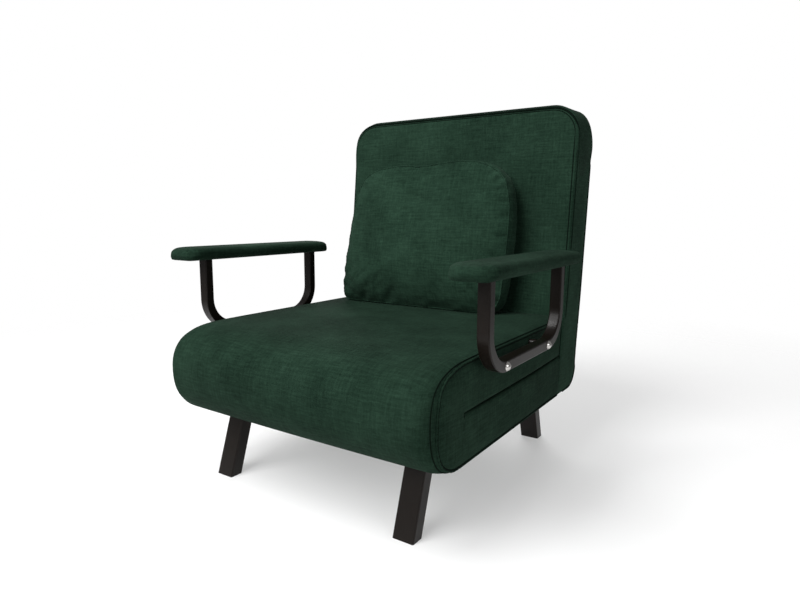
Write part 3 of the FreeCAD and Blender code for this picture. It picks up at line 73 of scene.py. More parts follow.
SIDE_OUT = {-1: 6.0, 1: 0.0}  # how far the cloth is let out on each side
BACK_OUT = {-1: 3.0, 1: 1.5}  # and how much further towards the back's top
LET_OUT = (200, 300)  # across the chair, where letting out starts and is full
WIDENS = (60, 230)  # up the back, the same for BACK_OUT
SIDES = (("left", -1), ("right", 1))


def row(points):
    """Working millimetres to row metres."""
    out = np.array(points, float)
    out[..., 1] += SHIFT
    return out / 1000


def back_frame(u, w):
    """A point of the back as working y and z: u behind the recline line, or ahead below 0, and w up the back."""
    y = PIVOT[0] + u * math.cos(LEAN) + w * math.sin(LEAN)
    z = PIVOT[1] - u * math.sin(LEAN) + w * math.cos(LEAN)
    return y, z


# Curves

def arc(cx, cy, radius, first, last, count):
    turns = np.radians(np.linspace(first, last, count))
    return [(cx + radius * math.cos(t), cy + radius * math.sin(t)) for t in turns]


def even(points, count, closed=False):
    """The polyline cut into equal steps."""
    path = np.array(points, float)
    if closed:
        path = np.vstack([path, path[:1]])
    steps = np.linalg.norm(np.diff(path, axis=0), axis=1)
    along = np.concatenate([[0], np.cumsum(steps)])
    at = np.linspace(0, along[-1], count + 1 if closed else count)
    if closed:
        at = at[:-1]
    return np.stack([np.interp(at, along, path[:, k]) for k in range(path.shape[1])], axis=1)


def smooth(points, count):
    """An open, even curve through the points."""
    path = np.array(points, float)
    ends = np.vstack([2 * path[0] - path[1], path, 2 * path[-1] - path[-2]])
    fine = []
    for k in range(1, len(ends) - 2):
        p0, p1, p2, p3 = ends[k - 1:k + 3]
        for t in np.linspace(0, 1, 12, endpoint=False):
            fine.append(0.5 * (2 * p1 + (p2 - p0) * t + (2 * p0 - 5 * p1 + 4 * p2 - p3) * t ** 2
                               + (3 * p1 - p0 - 3 * p2 + p3) * t ** 3))
    fine.append(ends[-2])
    return even(fine, count)


def normals_2d(path):
    """Left-hand normals of an open 2-D path."""
    way = np.gradient(path, axis=0)
    way /= np.maximum(np.linalg.norm(way, axis=1, keepdims=True), 1e-9)
    return np.stack([-way[:, 1], way[:, 0]], axis=1)


def step(value, low, high):
    """0 below low, 1 above high, and a smooth rise between."""
    share = np.clip((value - low) / (high - low), 0, 1)
    return share * share * (3 - 2 * share)


def across_at(x, line):
    """A line of (y, z) set at one place across the chair, or with one x at each point."""
    return np.column_stack([np.full(len(line), x), line])


# Meshes

def new_piece(name, verts, faces):
    mesh = bpy.data.meshes.new(name)
    mesh.from_pydata([tuple(v) for v in verts], [], faces)
    mesh.update()
    piece = bpy.data.objects.new(name, mesh)
    bpy.context.scene.collection.objects.link(piece)
    tidy = bmesh.new()
    tidy.from_mesh(mesh)
    bmesh.ops.recalc_face_normals(tidy, faces=tidy.faces)
    tidy.to_mesh(mesh)
    tidy.free()
    for face in mesh.polygons:
        face.use_smooth = True
    return piece


def loft(name, loops, close_ends=True):
    """Skin over closed loops of equal count, in working millimetres."""
    stations = row(np.array(loops))
    count, around = stations.shape[:2]
    faces = []
    for i in range(count - 1):
        for j in range(around):
            k = (j + 1) % around
            faces.append((i * around + j, i * around + k, (i + 1) * around + k, (i + 1) * around + j))
    if close_ends:
        faces.append(tuple(range(around))[::-1])
        faces.append(tuple((count - 1) * around + j for j in range(around)))
    return new_piece(name, stations.reshape(-1, 3), faces)


def stations_across(half, edge, rise, middle):
    """Places across the chair: rise of them in each edge, closing up towards the seam, and middle between."""
    near = half - edge * (1 - np.cos(np.linspace(0, math.pi / 2, rise)))
    inner = np.linspace(-(half - edge), half - edge, middle)[1:-1]
    return np.concatenate([-near, inner, near[::-1]])


def tube(name, path, wide, out, radius, sides, closed):
    """A cord along a path; wide and out are its two directions at each point."""
    turns = np.linspace(0, math.tau, sides, endpoint=False)
    loops = [[point + w * radius * math.cos(turn) + o * radius * math.sin(turn) for turn in turns]
             for point, w, o in zip(path, wide, out)]
    if closed:
        loops.append(loops[0])
    return loft(name, loops, close_ends=not closed)


def apply_modifiers(piece):
    graph = bpy.context.evaluated_depsgraph_get()
    mesh = bpy.data.meshes.new_from_object(piece.evaluated_get(graph))
    piece.modifiers.clear()
    piece.data = mesh
    for face in mesh.polygons:
        face.use_smooth = True


def remesh(piece, size):
    modifier = piece.modifiers.new("Voxels", "REMESH")
    modifier.mode = "VOXEL"
    modifier.voxel_size = size
    apply_modifiers(piece)


def subdivide(piece):
    modifier = piece.modifiers.new("Smooth", "SUBSURF")
    modifier.levels = 1
    modifier.render_levels = 1
    apply_modifiers(piece)


def read_vectors(data, name):
    out = np.empty(len(data) * 3, np.float32)
    data.foreach_get(name, out)
    return out.reshape(-1, 3).astype(float)


def coordinates(piece):
    return read_vectors(piece.data.vertices, "co")


def point_normals(piece):
    return read_vectors(piece.data.vertex_normals, "vector")


def set_coordinates(piece, points):
    piece.data.vertices.foreach_set("co", points.astype(np.float32).ravel())
    piece.data.update()


CLOTH_FRAMES = 20


def inflate(piece, free, cap, pressure):
    """Cloth under pressure: free is each vertex's share of movement, cap the most it may move."""
    before = coordinates(piece)
    pins = piece.vertex_groups.new(name="pins")
    for k, share in enumerate(free):
        pins.add([k], 1.0 - float(share), "REPLACE")
    modifier = piece.modifiers.new("Cloth", "CLOTH")
    cloth = modifier.settings
    cloth.quality = 5
    cloth.mass = 0.3
    cloth.tension_stiffness = 15
    cloth.compression_stiffness = 15
    cloth.shear_stiffness = 5
    cloth.bending_stiffness = 0.5
    cloth.use_pressure = True
    cloth.uniform_pressure_force = pressure
    cloth.vertex_group_mass = "pins"
    cloth.effector_weights.gravity = 0
    modifier.collision_settings.use_collision = False
    modifier.point_cache.frame_start = 1
    modifier.point_cache.frame_end = CLOTH_FRAMES
    scene = bpy.context.scene
    for number in range(1, CLOTH_FRAMES + 1):
        scene.frame_set(number)
    graph = bpy.context.evaluated_depsgraph_get()
    moved = bpy.data.meshes.new_from_object(piece.evaluated_get(graph))
    change = read_vectors(moved.vertices, "co") - before
    bpy.data.meshes.remove(moved)
    piece.modifiers.clear()
    piece.vertex_groups.clear()
    scene.frame_set(1)
    length = np.linalg.norm(change, axis=1, keepdims=True)
    change *= np.minimum(1, cap / np.maximum(length, 1e-9))
    set_coordinates(piece, before + change)


def ripple(piece, height, scale, seed):
    """Soft unevenness of padding along the normals."""
    points = coordinates(piece)
    offset = Vector((seed * 3.1, seed * 7.7, seed * 1.3))
    rise = np.array([noise.fractal(Vector(point) * scale + offset, 0.6, 2.1, 3) for point in points])
    set_coordinates(piece, points + point_normals(piece) * rise[:, None] * height)


# Materials

def node(tree, kind, **values):
    made = tree.nodes.new(kind)
    for key, value in values.items():
        setattr(made, key, value)
    return made


def first_node(tree, kind):
    return next(n for n in tree.nodes if n.type == kind)


def maths(tree, kind, first, second=None):
    made = node(tree, "ShaderNodeMath", operation=kind)
    for socket, value in zip(made.inputs, (first, second)):
        if value is None:
            continue
        if isinstance(value, bpy.types.NodeSocket):
            tree.links.new(value, socket)
        else:
            socket.default_value = value
    return made.outputs[0]


def weighted(tree, first, first_weight, second, second_weight):
    """The sum of two values, each times its weight."""
    return maths(tree, "ADD", maths(tree, "MULTIPLY", first, first_weight),
                 maths(tree, "MULTIPLY", second, second_weight))


def noise_node(tree, vector, scale, detail, roughness):
    made = node(tree, "ShaderNodeTexNoise")
    made.inputs["Scale"].default_value = scale
    made.inputs["Detail"].default_value = detail
    made.inputs["Roughness"].default_value = roughness
    tree.links.new(vector, made.inputs["Vector"])
    return made.outputs["Fac"]


def ramp(tree, factor, stops):
    made = node(tree, "ShaderNodeValToRGB")
    bar = made.color_ramp
    while len(bar.elements) < len(stops):
        bar.elements.new(0.5)
    for element, (at, colour) in zip(bar.elements, stops):
        element.position = at
        element.color = (*colour, 1)
    tree.links.new(factor, made.inputs["Fac"])
    return made.outputs["Color"]


def shade(colour, factor):
    return tuple(c * factor for c in colour)


def add_bump(tree, shader, height, strength, distance):
    bump = node(tree, "ShaderNodeBump")
    bump.inputs["Strength"].default_value = strength
    bump.inputs["Distance"].default_value = distance
    tree.links.new(height, bump.inputs["Height"])
    tree.links.new(bump.outputs[0], shader.inputs["Normal"])


def rough_around(tree, shader, value, swing, middle):
    """Roughness that follows a value: its swing, and what it is where the value is 0."""
    tree.links.new(maths(tree, "ADD", maths(tree, "MULTIPLY", value, swing), middle), shader.inputs["Roughness"])


def start_material(name):
    """A material with its node tree, its shader and its texture coordinates."""
    material = bpy.data.materials.new(name)
    material.use_nodes = True
    tree = material.node_tree
    shader = first_node(tree, "BSDF_PRINCIPLED")
    where = node(tree, "ShaderNodeTexCoord")
    return material, tree, shader, where


def flat_coordinates(tree, where):
    """Two coordinates in the cloth's own plane, picked by which way the surface faces."""
    place = node(tree, "ShaderNodeSeparateXYZ")
    facing = node(tree, "ShaderNodeSeparateXYZ")
    tree.links.new(where.outputs["Object"], place.inputs[0])
    tree.links.new(where.outputs["Normal"], facing.inputs[0])
    size = [maths(tree, "ABSOLUTE", facing.outputs[k]) for k in range(3)]
    to_side = maths(tree, "GREATER_THAN", size[0], maths(tree, "MAXIMUM", size[1], size[2]))
    to_front = maths(tree, "GREATER_THAN", size[1], size[2])

    def choose(chance, yes, no):
        mix = node(tree, "ShaderNodeMix", data_type="FLOAT")
        tree.links.new(chance, mix.inputs["Factor"])
        tree.links.new(no, mix.inputs["A"])
        tree.links.new(yes, mix.inputs["B"])
        return mix.outputs["Result"]

    u = choose(to_side, place.outputs["Y"], place.outputs["X"])
    v = choose(to_side, place.outputs["Z"], choose(to_front, place.outputs["Z"], place.outputs["Y"]))
    return u, v


def threads_one_way(tree, u, v, layer, detail, roughness):
    """Noise drawn out into threads; u and v come with how often they change in a metre."""
    joined = node(tree, "ShaderNodeCombineXYZ")
    for socket, (flat, often) in zip(joined.inputs, (u, v)):
        tree.links.new(maths(tree, "MULTIPLY", flat, often), socket)
    joined.inputs[2].default_value = layer
    return noise_node(tree, joined.outputs[0], 1.0, detail, roughness)


SLUB = (26, 235)  # along and across a thick thread, in changes per metre
YARN = (150, 1150)  # the same for the fine threads
CROSSING = 3900.0  # the pattern of single crossings, in radians per metre


def cloth_material(name, dark, light, sheen=0.015):
    """Linen-like weave: slubbed threads both ways, soft mottling and a short nap."""
    material, tree, shader, where = start_material(name)
    u, v = flat_coordinates(tree, where)
    weft = threads_one_way(tree, (u, SLUB[0]), (v, SLUB[1]), 0.0, 4, 0.75)
    warp = threads_one_way(tree, (u, SLUB[1]), (v, SLUB[0]), 4.0, 4, 0.75)
    fine_weft = threads_one_way(tree, (u, YARN[0]), (v, YARN[1]), 8.0, 2, 0.6)
    fine_warp = threads_one_way(tree, (u, YARN[1]), (v, YARN[0]), 12.0, 2, 0.6)
    threads = maths(tree, "ADD", weighted(tree, weft, 0.36, warp, 0.28),
                    weighted(tree, fine_weft, 0.18, fine_warp, 0.18))
    cross = maths(tree, "MULTIPLY",
                  maths(tree, "SINE", maths(tree, "MULTIPLY", u, CROSSING)),
                  maths(tree, "SINE", maths(tree, "MULTIPLY", v, CROSSING)))
    mottle = noise_node(tree, where.outputs["Object"], 9.0, 5, 0.6)
    cloud = noise_node(tree, where.outputs["Object"], 2.3, 3, 0.5)
    tone = maths(tree, "ADD", maths(tree, "MULTIPLY", threads, 0.7), weighted(tree, mottle, 0.18, cloud, 0.12))
    middle = tuple((a + b) / 2 for a, b in zip(dark, light))
    colour = ramp(tree, tone, [(0.4, shade(dark, 0.72)), (0.5, middle), (0.6, shade(light, 1.22))])
    tree.links.new(colour, shader.inputs["Base Color"])
    rough_around(tree, shader, threads, -0.15, 0.98)
    shader.inputs["Specular IOR Level"].default_value = 0.03
    shader.inputs["Sheen Weight"].default_value = sheen
    shader.inputs["Sheen Roughness"].default_value = 0.45
    shader.inputs["Sheen Tint"].default_value = (0.55, 0.75, 0.62, 1)
    add_bump(tree, shader, weighted(tree, threads, 1.0, cross, 0.12), 0.55, 0.0007)
    return material


def coat_material(name, base, roughness, grain=420.0, strength=0.12, coat=0.0):
    """Powder coat or moulded plastic: fine orange peel, slightly worn tone."""
    material, tree, shader, where = start_material(name)
    peel = noise_node(tree, where.outputs["Object"], grain, 3, 0.5)
    patch = noise_node(tree, where.outputs["Object"], 14.0, 4, 0.6)
    colour = ramp(tree, patch, [(0.3, shade(base, 0.86)), (0.7, shade(base, 1.14))])
    tree.links.new(colour, shader.inputs["Base Color"])
    rough_around(tree, shader, patch, 0.12, roughness - 0.06)
    shader.inputs["Specular IOR Level"].default_value = 0.16
    shader.inputs["Coat Weight"].default_value = coat
    shader.inputs["Coat Roughness"].default_value = 0.2
    add_bump(tree, shader, peel, strength, 0.0004)
    return material


def stretched_noise(tree, where, scale, detail, roughness):
    stretch = node(tree, "ShaderNodeMapping")
    stretch.inputs["Scale"].default_value = scale
    tree.links.new(where.outputs["Object"], stretch.inputs["Vector"])
    return noise_node(tree, stretch.outputs[0], 1.0, detail, roughness)


def brushed_material(name, base, roughness):
    """Zinc-plated or bright steel with fine drawn lines."""
    material, tree, shader, where = start_material(name)
    lines = stretched_noise(tree, where, (30, 900, 900), 3, 0.6)
    colour = ramp(tree, lines, [(0.3, shade(base, 0.82)), (0.7, base)])
    tree.links.new(colour, shader.inputs["Base Color"])
    rough_around(tree, shader, lines, 0.16, roughness - 0.08)
    shader.inputs["Metallic"].default_value = 1.0
    return material


def wood_material(name):
    material, tree, shader, where = start_material(name)
    grain = stretched_noise(tree, where, (60, 6, 120), 5, 0.65)
    colour = ramp(tree, grain, [(0.3, (0.42, 0.28, 0.15)), (0.7, (0.62, 0.46, 0.29))])
    tree.links.new(colour, shader.inputs["Base Color"])
    shader.inputs["Roughness"].default_value = 0.7
    return material


GREEN_DARK = (0.0048, 0.0138, 0.0084)
GREEN_LIGHT = (0.0140, 0.0322, 0.0206)


def green(name, dark, light, sheen=0.015):
    """The cover's green cloth with its dark and light threads changed in tone."""
    return cloth_material(name, shade(GREEN_DARK, dark), shade(GREEN_LIGHT, light), sheen)


weave = green("green_weave", 1.0, 1.0)
# A brighter copy of the cover cloth for the pillow: painted light
pillow_weave = green("pillow_weave", 1.30, 1.28, 0.03)
# Brighter copies of the cover cloth for the back and for the back's sides: painted light
back_painted_light_weave = green("back_painted_light_weave", 1.12, 1.12, 0.02)
side_painted_light_weave = green("side_painted_light_weave", 1.42, 1.42, 0.02)
seam_weave = green("seam_weave", 0.9, 0.95)
# A dark copy of the cover cloth for the cords that paint shade into the seams, along the pipings and at the slit's
# front ends
painted_shade_weave = green("painted_shade_weave", 0.25, 0.25, 0.0)
arm_coat = coat_material("arm_coat", (0.0062, 0.0042, 0.0030), 0.36, grain=520, strength=0.08, coat=0.07)
frame_coat = coat_material("frame_coat", (0.0099, 0.0079, 0.0061), 0.5)
plug_plastic = coat_material("plug_plastic", (0.01, 0.01, 0.01), 0.6, grain=900)
hinge_steel = brushed_material("hinge_steel", (0.09, 0.09, 0.093), 0.45)
fixing_steel = brushed_material("fixing_steel", (0.07, 0.07, 0.072), 0.42)
bright_steel = brushed_material("bright_steel", (0.6, 0.58, 0.56), 0.16)
strap_weave = cloth_material("strap_weave", (0.008, 0.008, 0.009), (0.02, 0.02, 0.022), 0.02)
ply = wood_material("ply")

SLOTS = {
    "arm_coat": arm_coat, "frame_coat": frame_coat, "hinge_steel": hinge_steel, "fixings": fixing_steel,
    "bright_bolt": bright_steel, "plug": plug_plastic, "strap": strap_weave, "board": ply,
    "cover_weave": weave, "pillow_weave": pillow_weave,
}


def paint(piece, material):
    piece.data.materials.clear()
    piece.data.materials.append(material)


def dress(piece, material, body=None):
    paint(piece, material)
    if body:
        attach(piece, body)
    return piece


for part in frame["record"]["subparts"]:
    if part["material_slot"] in SLOTS:
        paint(frame["nodes"][part["node"]], SLOTS[part["material_slot"]])
paint(frame["nodes"]["arm_spacers"], arm_coat)

# Seat and front roll

# The front roll's profile in the middle of the chair and at its side seams, as (y, z)
roll_middle = [(268, 323), (200, 323), (100, 323), (0, 323), (-90, 323), (-150, 322.8), (-185, 322.2), (-221, 321.2),
               (-246, 318.8), (-272, 313.5), (-291, 307), (-307, 298), (-321, 283), (-329, 267), (-333, 250),
               (-333.5, 230), (-331.5, 211), (-327, 194), (-320, 180), (-310, 167), (-298, 155), (-284, 146),
               (-268, 139.5), (-250, 136.4), (-232, 136.2), (-215, 138.6)]
roll_seam = [(268, 314), (200, 314), (100, 314), (0, 314), (-90, 314), (-150, 314), (-182, 313.6), (-213, 312.6),
             (-236, 309.6), (-252, 305), (-267, 299.5), (-278, 291.5), (-287, 281), (-292, 266), (-295, 251),
             (-296.5, 231), (-296.5, 212), (-295.5, 196), (-292, 184), (-288, 174), (-281, 163), (-271, 153.5),
             (-257, 146), (-244, 141.5), (-230, 139.8), (-215, 139.6)]
ROLL_COUNT = 132  # points along the front roll's profile
outer_middle = smooth(roll_middle, ROLL_COUNT)
outer_seam = smooth(roll_seam, ROLL_COUNT)
inner_seam = outer_seam + normals_2d(outer_seam) * 4.0  # its inner skin


def seam_rise(x, corner=27.0, half=SEAM):
    """How far a panel has risen from its side seams: a round corner, then a faint crown."""
    away = np.clip((half - np.abs(x)) / corner, 0, 1)
    return 0.87 * np.sqrt(np.maximum(1 - (1 - away) ** 2, 0)) + 0.13 * (1 - (np.abs(x) / half) ** 2)


def beside(x):
    """A place across the chair after the cloth's sides are let out."""
    return x - SIDE_OUT[-1] * float(step(-x, *LET_OUT)) + SIDE_OUT[1] * float(step(x, *LET_OUT))


def on_roll(x):
    """The front roll's cloth at one place across it."""
    return across_at(beside(x), outer_seam + (outer_middle - outer_seam) * seam_rise(x))


def roll_loop(x):
    """The roll's closed profile at one place across it: its cloth, then its inner skin."""
    return np.vstack([on_roll(x), across_at(beside(x), inner_seam[::-1])])


seat_top = loft("seat_top", [roll_loop(x) for x in stations_across(SEAM, 40, 12, 62)])


def across_front(piece):
    """Bakes the placing of a piece that runs from the base to the seat over the front hinge into its mesh."""
    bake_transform(piece)


def hidden_block(name, outline, count, half):
    """A plain block across the chair: its profile cut into count steps, and half its width."""
    loop = even(outline, count, closed=True)
    return loft(name, [across_at(x, loop) for x in np.linspace(-half, half, 24)])


def slit_gap(y):
    """Half the gap between the seat's and the base's side panels: closed ahead, narrower again at the rear."""
    ahead = np.clip((y + 216) / 60, 0, 1) ** 0.6
    behind = np.clip((262 - y) / 70, 0, 1) ** 0.6
    return 0.12 + 2.5 * ahead * (0.55 + 0.45 * behind)


JOINT_Y = 266.3  # where the back's front plane crosses the slit's height


def joint_line(z):
    """Working y of the back's front plane beside the base and the seat."""
    return JOINT_Y - (SLIT - z) * math.tan(LEAN)


def distance_to(points, line):
    """Shortest way from each point to a polyline, all as (y, z)."""
    best = np.full(len(points), 1e9)
    for a, b in zip(line[:-1], line[1:]):
        way = b - a
        t = np.clip(((points - a) @ way) / max(way @ way, 1e-9), 0, 1)
        best = np.minimum(best, np.linalg.norm(points - (a + t[:, None] * way), axis=1))
    return best


def side_panel(name, side, low_line, high_line, edges, inner, outer, bulge, taper, rows=20):
    """A padded side panel between two lines of equal count, from inner to outer across the chair.

    It swells by bulge away from its edges, each over its reach, and taper takes some of that back.
    """
    count = len(low_line)
    share = 0.5 - 0.5 * np.cos(np.linspace(0, math.pi, rows))
    flat = (low_line[None] + (high_line - low_line)[None] * share[:, None, None]).reshape(-1, 2)
    away = np.min([distance_to(flat, np.array(edge, float)) / reach for edge, reach in edges], axis=0)
    rise = bulge * np.sin(np.clip(away, 0, 1) * math.pi / 2) ** 0.75 - taper(flat)
    verts = row(np.vstack([across_at(side * (outer + rise), flat), across_at(side * inner, flat)]))
    faces = []
    size = rows * count
    for i in range(rows - 1):
        for j in range(count - 1):
            a = i * count + j
            faces.append((a, a + 1, a + count + 1, a + count))
            faces.append((size + a, size + a + count, size + a + count + 1, size + a + 1))
    for j in range(count - 1):
        for a in (j, (rows - 1) * count + j):
            faces.append((a, a + 1, size + a + 1, size + a))
    for i in range(rows - 1):
        for a in (i * count, i * count + count - 1):
            faces.append((a, a + count, size + a + count, size + a))
    return new_piece(name, verts, faces)


SEAT_GAP = 0.8  # between the seat and the back
BASE_GAP = 0.2  # between the base's side panels and the back's
EDGE_REACH = 30  # how far in from its edge a panel is round
PANEL_COUNT = 150  # points along a side panel
seam_ring = np.vstack([outer_seam, [(-200, BASE_LOW), (258, BASE_LOW)]])


def fall_behind(flat):
    """Side panels flatten towards the back, whose sides they meet."""
    return 3.6 * step(flat[:, 0], 60, 250) * np.clip(distance_to(flat, seam_ring) / EDGE_REACH, 0, 1)


seat_rear = np.array([(joint_line(SEAT_HIGH) - SEAT_GAP, SEAT_HIGH), (joint_line(SLIT) - SEAT_GAP, SLIT)])
seat_front = outer_seam[(outer_seam[:, 0] < 190) & (outer_seam[:, 1] > SLIT)]
seat_high = even(np.vstack([seat_rear[:1], [(200, SEAT_HIGH)], seat_front]), PANEL_COUNT)
across = np.linspace(seat_rear[1][0], seat_high[-1][0], PANEL_COUNT)
seat_low = np.column_stack([across, SLIT + slit_gap(across)])
base_front = outer_seam[outer_seam[:, 1] < SLIT][::-1]
base_low = even(np.vstack([[(joint_line(139) - BASE_GAP, BASE_LOW), (0, BASE_LOW)], base_front]), PANEL_COUNT)
across = np.linspace(joint_line(SLIT) - BASE_GAP, base_low[-1][0], PANEL_COUNT)
base_high = np.column_stack([across, SLIT - slit_gap(across)])
slit_edge = ([(-212, SLIT), (270, SLIT)], 9)
SIDE_PANELS = (
    ("seat", seat_low, seat_high, [(seat_high, EDGE_REACH), slit_edge, (seat_rear, 12)]),
    ("base", base_low, base_high, [(base_low, EDGE_REACH), slit_edge]),
)
for hand, side in SIDES:
    for body, low, high, edges in SIDE_PANELS:
        panel = side_panel(f"{body}_side_{hand}", side, low, high, edges, 305, SEAM + SIDE_OUT[side], 6.0, fall_behind)
        dress(panel, weave, body)

# The blocks behind the panels keep clear of the slit's middle by SLIT_HALF.
SLIT_HALF = 0.4
BLOCK_FRONT = -292.5
BLOCK_LOW = 137.2
BLOCK_HALF = 306  # half their width
inside = inner_seam[(inner_seam[:, 0] < 180) & (inner_seam[:, 1] > 240)]
seat_block = hidden_block("seat_block", np.vstack([
    [(joint_line(SLIT) - SEAT_GAP, SLIT + SLIT_HALF), (joint_line(311) - SEAT_GAP, 311)],
    inside,
    [(BLOCK_FRONT, 240), (BLOCK_FRONT, SLIT + SLIT_HALF)],
]), 170, BLOCK_HALF)

inside = inner_seam[(inner_seam[:, 0] < -236) & (inner_seam[:, 1] < 218)]
base_block = hidden_block("base_block", np.vstack([
    [(BLOCK_FRONT, SLIT - SLIT_HALF), (BLOCK_FRONT, 220)],
    inside,
    [(-215, BLOCK_LOW), (256, BLOCK_LOW), (256, SLIT - SLIT_HALF)],
]), 190, BLOCK_HALF)

rear_corner = arc(339, BLOCK_LOW + 45, 45, -90, 0, 9)
base_rear = hidden_block("base_rear", [
    (250, SLIT - SLIT_HALF), (250, BLOCK_LOW), (339, BLOCK_LOW), *rear_corner, (384, SLIT - SLIT_HALF),
], 150, 311.4)


def box_piece(name, low, high):
    corners = [(x, y, z) for x in (low[0], high[0]) for y in (low[1], high[1]) for z in (low[2], high[2])]
    faces = [(0, 1, 3, 2), (4, 6, 7, 5), (0, 4, 5, 1), (2, 3, 7, 6), (0, 2, 6, 4), (1, 5, 7, 3)]
    return new_piece(name, row(np.array(corners)), faces)


def carve(piece, tools):
    for tool in tools:
        modifier = piece.modifiers.new("Slot", "BOOLEAN")
        modifier.operation = "DIFFERENCE"
        modifier.solver = "EXACT"
        modifier.object = tool
    apply_modifiers(piece)
    for tool in tools:
        bpy.data.objects.remove(tool)


# The recline hinge's slot in each rear corner
carve(base_rear, [box_piece("slot", (x, 247, 144.6), (x + 17.6, 400, 240)) for x in (-308, 290.4)])

# Back

CROWN = 7.0  # rise of the back's front face from its seams
FRONT_U = CROWN - AHEAD  # the seams' place, ahead of the recline line
FRONT_ROUND = 18.0  # radius of the front face's edges
REAR_ROUND = 44.0  # and of the top's rear edge
TOP_CORNER = 64.0  # radius of the top corners, seen from ahead
REAR_CORNER = 44.0  # and seen from behind
BACK_HALF = 313.0  # half the back's width
CLEAR = 0.6  # what the hollow is wider here than in the frame


def back_loop(x):
    """The back's profile at one place across it; its top corners are rounder ahead than behind."""
    tops = []
    for corner in (TOP_CORNER, REAR_CORNER):
        over = max(abs(x) - (BACK_HALF - corner), 0)
        tops.append(REACH - min(corner - math.sqrt(max(corner ** 2 - over ** 2, 0)), corner - 1))
    lead = FRONT_U - CROWN * float(seam_rise(x, FRONT_ROUND, BACK_HALF))
    lip = math.sqrt(HOLLOW ** 2 - lead ** 2) + CLEAR
    heel = math.sqrt(HOLLOW ** 2 - BEHIND ** 2) + CLEAR
    points = [(lead, lip)]
    for turn in np.linspace(math.atan2(lip, lead), math.atan2(heel, BEHIND), 12):
        points.append(((HOLLOW + CLEAR) * math.cos(turn), (HOLLOW + CLEAR) * math.sin(turn)))
    points += [(BEHIND, heel), (BEHIND, tops[1] - REAR_ROUND)]
    points += arc(BEHIND - REAR_ROUND, tops[1] - REAR_ROUND, REAR_ROUND, 0, 90, 10)
    points += arc(lead + FRONT_ROUND, tops[0] - FRONT_ROUND, FRONT_ROUND, 90, 180, 8)
    return np.array([back_frame(u, w) for u, w in even(points, 220, closed=True)])


back_block = loft("back_block", [across_at(x, back_loop(x)) for x in stations_across(BACK_HALF, 70, 28, 50)])


def back_along(flat):
    """How far along the back working points (y, z) are."""
    return (flat[:, 0] - PIVOT[0]) * math.sin(LEAN) + (flat[:, 1] - PIVOT[1]) * math.cos(LEAN)


def widening(flat, side):
    """How far the back's sides stand out beyond the seat's, growing up the back."""
    return BACK_OUT[side] * step(back_along(flat), *WIDENS)


# The back's sides are let out, and swell a little below the top corners.
points = coordinates(back_block)
flat = np.column_stack([points[:, 1] * 1000 - SHIFT, points[:, 2] * 1000])
swell = np.where(points[:, 0] < 0, widening(flat, -1) + SIDE_OUT[-1], widening(flat, 1) + SIDE_OUT[1])
swell += 2.75 * step(back_along(flat), REACH - 130, REACH - 80)
points[:, 0] += np.sign(points[:, 0]) * swell / 1000 * step(abs(points[:, 0]), 0.2, 0.3)
set_coordinates(back_block, points)

SKIN_TOP = REACH - 66  # the skins' upper end along the back
SKIN_LOW = 138.6  # and their lower edge
SKIN_COUNT = 190  # points along the back's side skins
rear_edge = [(300, SKIN_LOW), (336, SKIN_LOW)] + arc(336.6, SKIN_LOW + 47, 47, -90, 0, 14)
rear_edge += [back_frame(BEHIND, w) for w in np.linspace(30, SKIN_TOP, 90)]
skin_rear = even(rear_edge, SKIN_COUNT)
front_edge = [(258.4, SKIN_LOW)]
front_edge += [back_frame(0.8 - AHEAD + (CROWN - 0.4) * step(w, 140, 175), w)
               for w in np.linspace(-33.2, SKIN_TOP, SKIN_COUNT)[1:]]
skin_front = even(front_edge, SKIN_COUNT)
skin_edges = [(skin_front[skin_front[:, 1] > SLIT], 12), (skin_rear, EDGE_REACH),
              ([tuple(skin_front[0]), (330.0, SKIN_LOW)], EDGE_REACH)]


def tuck(flat, side):
    """Draws a skin's upper end in under the back's rounded top, and widens it on the way up."""
    return 3.4 * step(back_along(flat), REACH - 130, REACH - 82) - widening(flat, side)


for hand, side in SIDES:
    skin = side_panel(f"back_side_{hand}", side, skin_front, skin_rear, skin_edges, 312.15, 312.6 + SIDE_OUT[side], 2.4,
                      lambda flat, side=side: tuck(flat, side), 26)
    # The skins wear the brightened side cloth: painted light
    dress(skin, side_painted_light_weave, "back")

# Pillow

PILLOW_MIDDLE = np.array([-39.0, 300.0])  # across and along the back
PILLOW_BORDER = 23.0  # half its thickness at the rim
PILLOW_BOW = 60.0  # and in the middle
PILLOW_U = -AHEAD - 59.0  # its middle plane, ahead of the recline line
# The pillow's outline, across and along the back
pillow_corners = [
    (-60, 147), (-140, 147), (-200, 147), (-238, 147), (-258, 150), (-268, 160), (-271, 184),
    (-271, 212), (-266, 268), (-261, 310), (-254, 365), (-246, 412), (-235, 446), (-220, 470),
    (-197, 488), (-162, 498), (-115, 502), (-66, 500), (-36, 499), (0, 503), (56, 506), (103, 503),
    (138, 494), (165, 479), (184, 456), (193, 424), (198, 390), (198, 320), (195, 260), (192, 205),
    (187, 176), (174, 157), (150, 149), (100, 147), (20, 147), (-60, 147),
]
pillow_rim = even(smooth(pillow_corners, 401)[:-1], 190, closed=True)


def pillow_point(x, w, depth):
    """Across, along and ahead of the pillow's middle plane to working coordinates."""
    y, z = back_frame(PILLOW_U - depth, w)
    return (x, y, z)


def pillow_depth(share):
    """Half the pillow's thickness, from its middle (0) to its rim (1)."""
    return PILLOW_BORDER + (PILLOW_BOW - PILLOW_BORDER) * (1 - share ** 2.1) ** 0.78


SAG, SAG_LINE, SAG_WIDE = 13, 208, 38  # the filling sunk to the front's lower part: depth, place along, spread


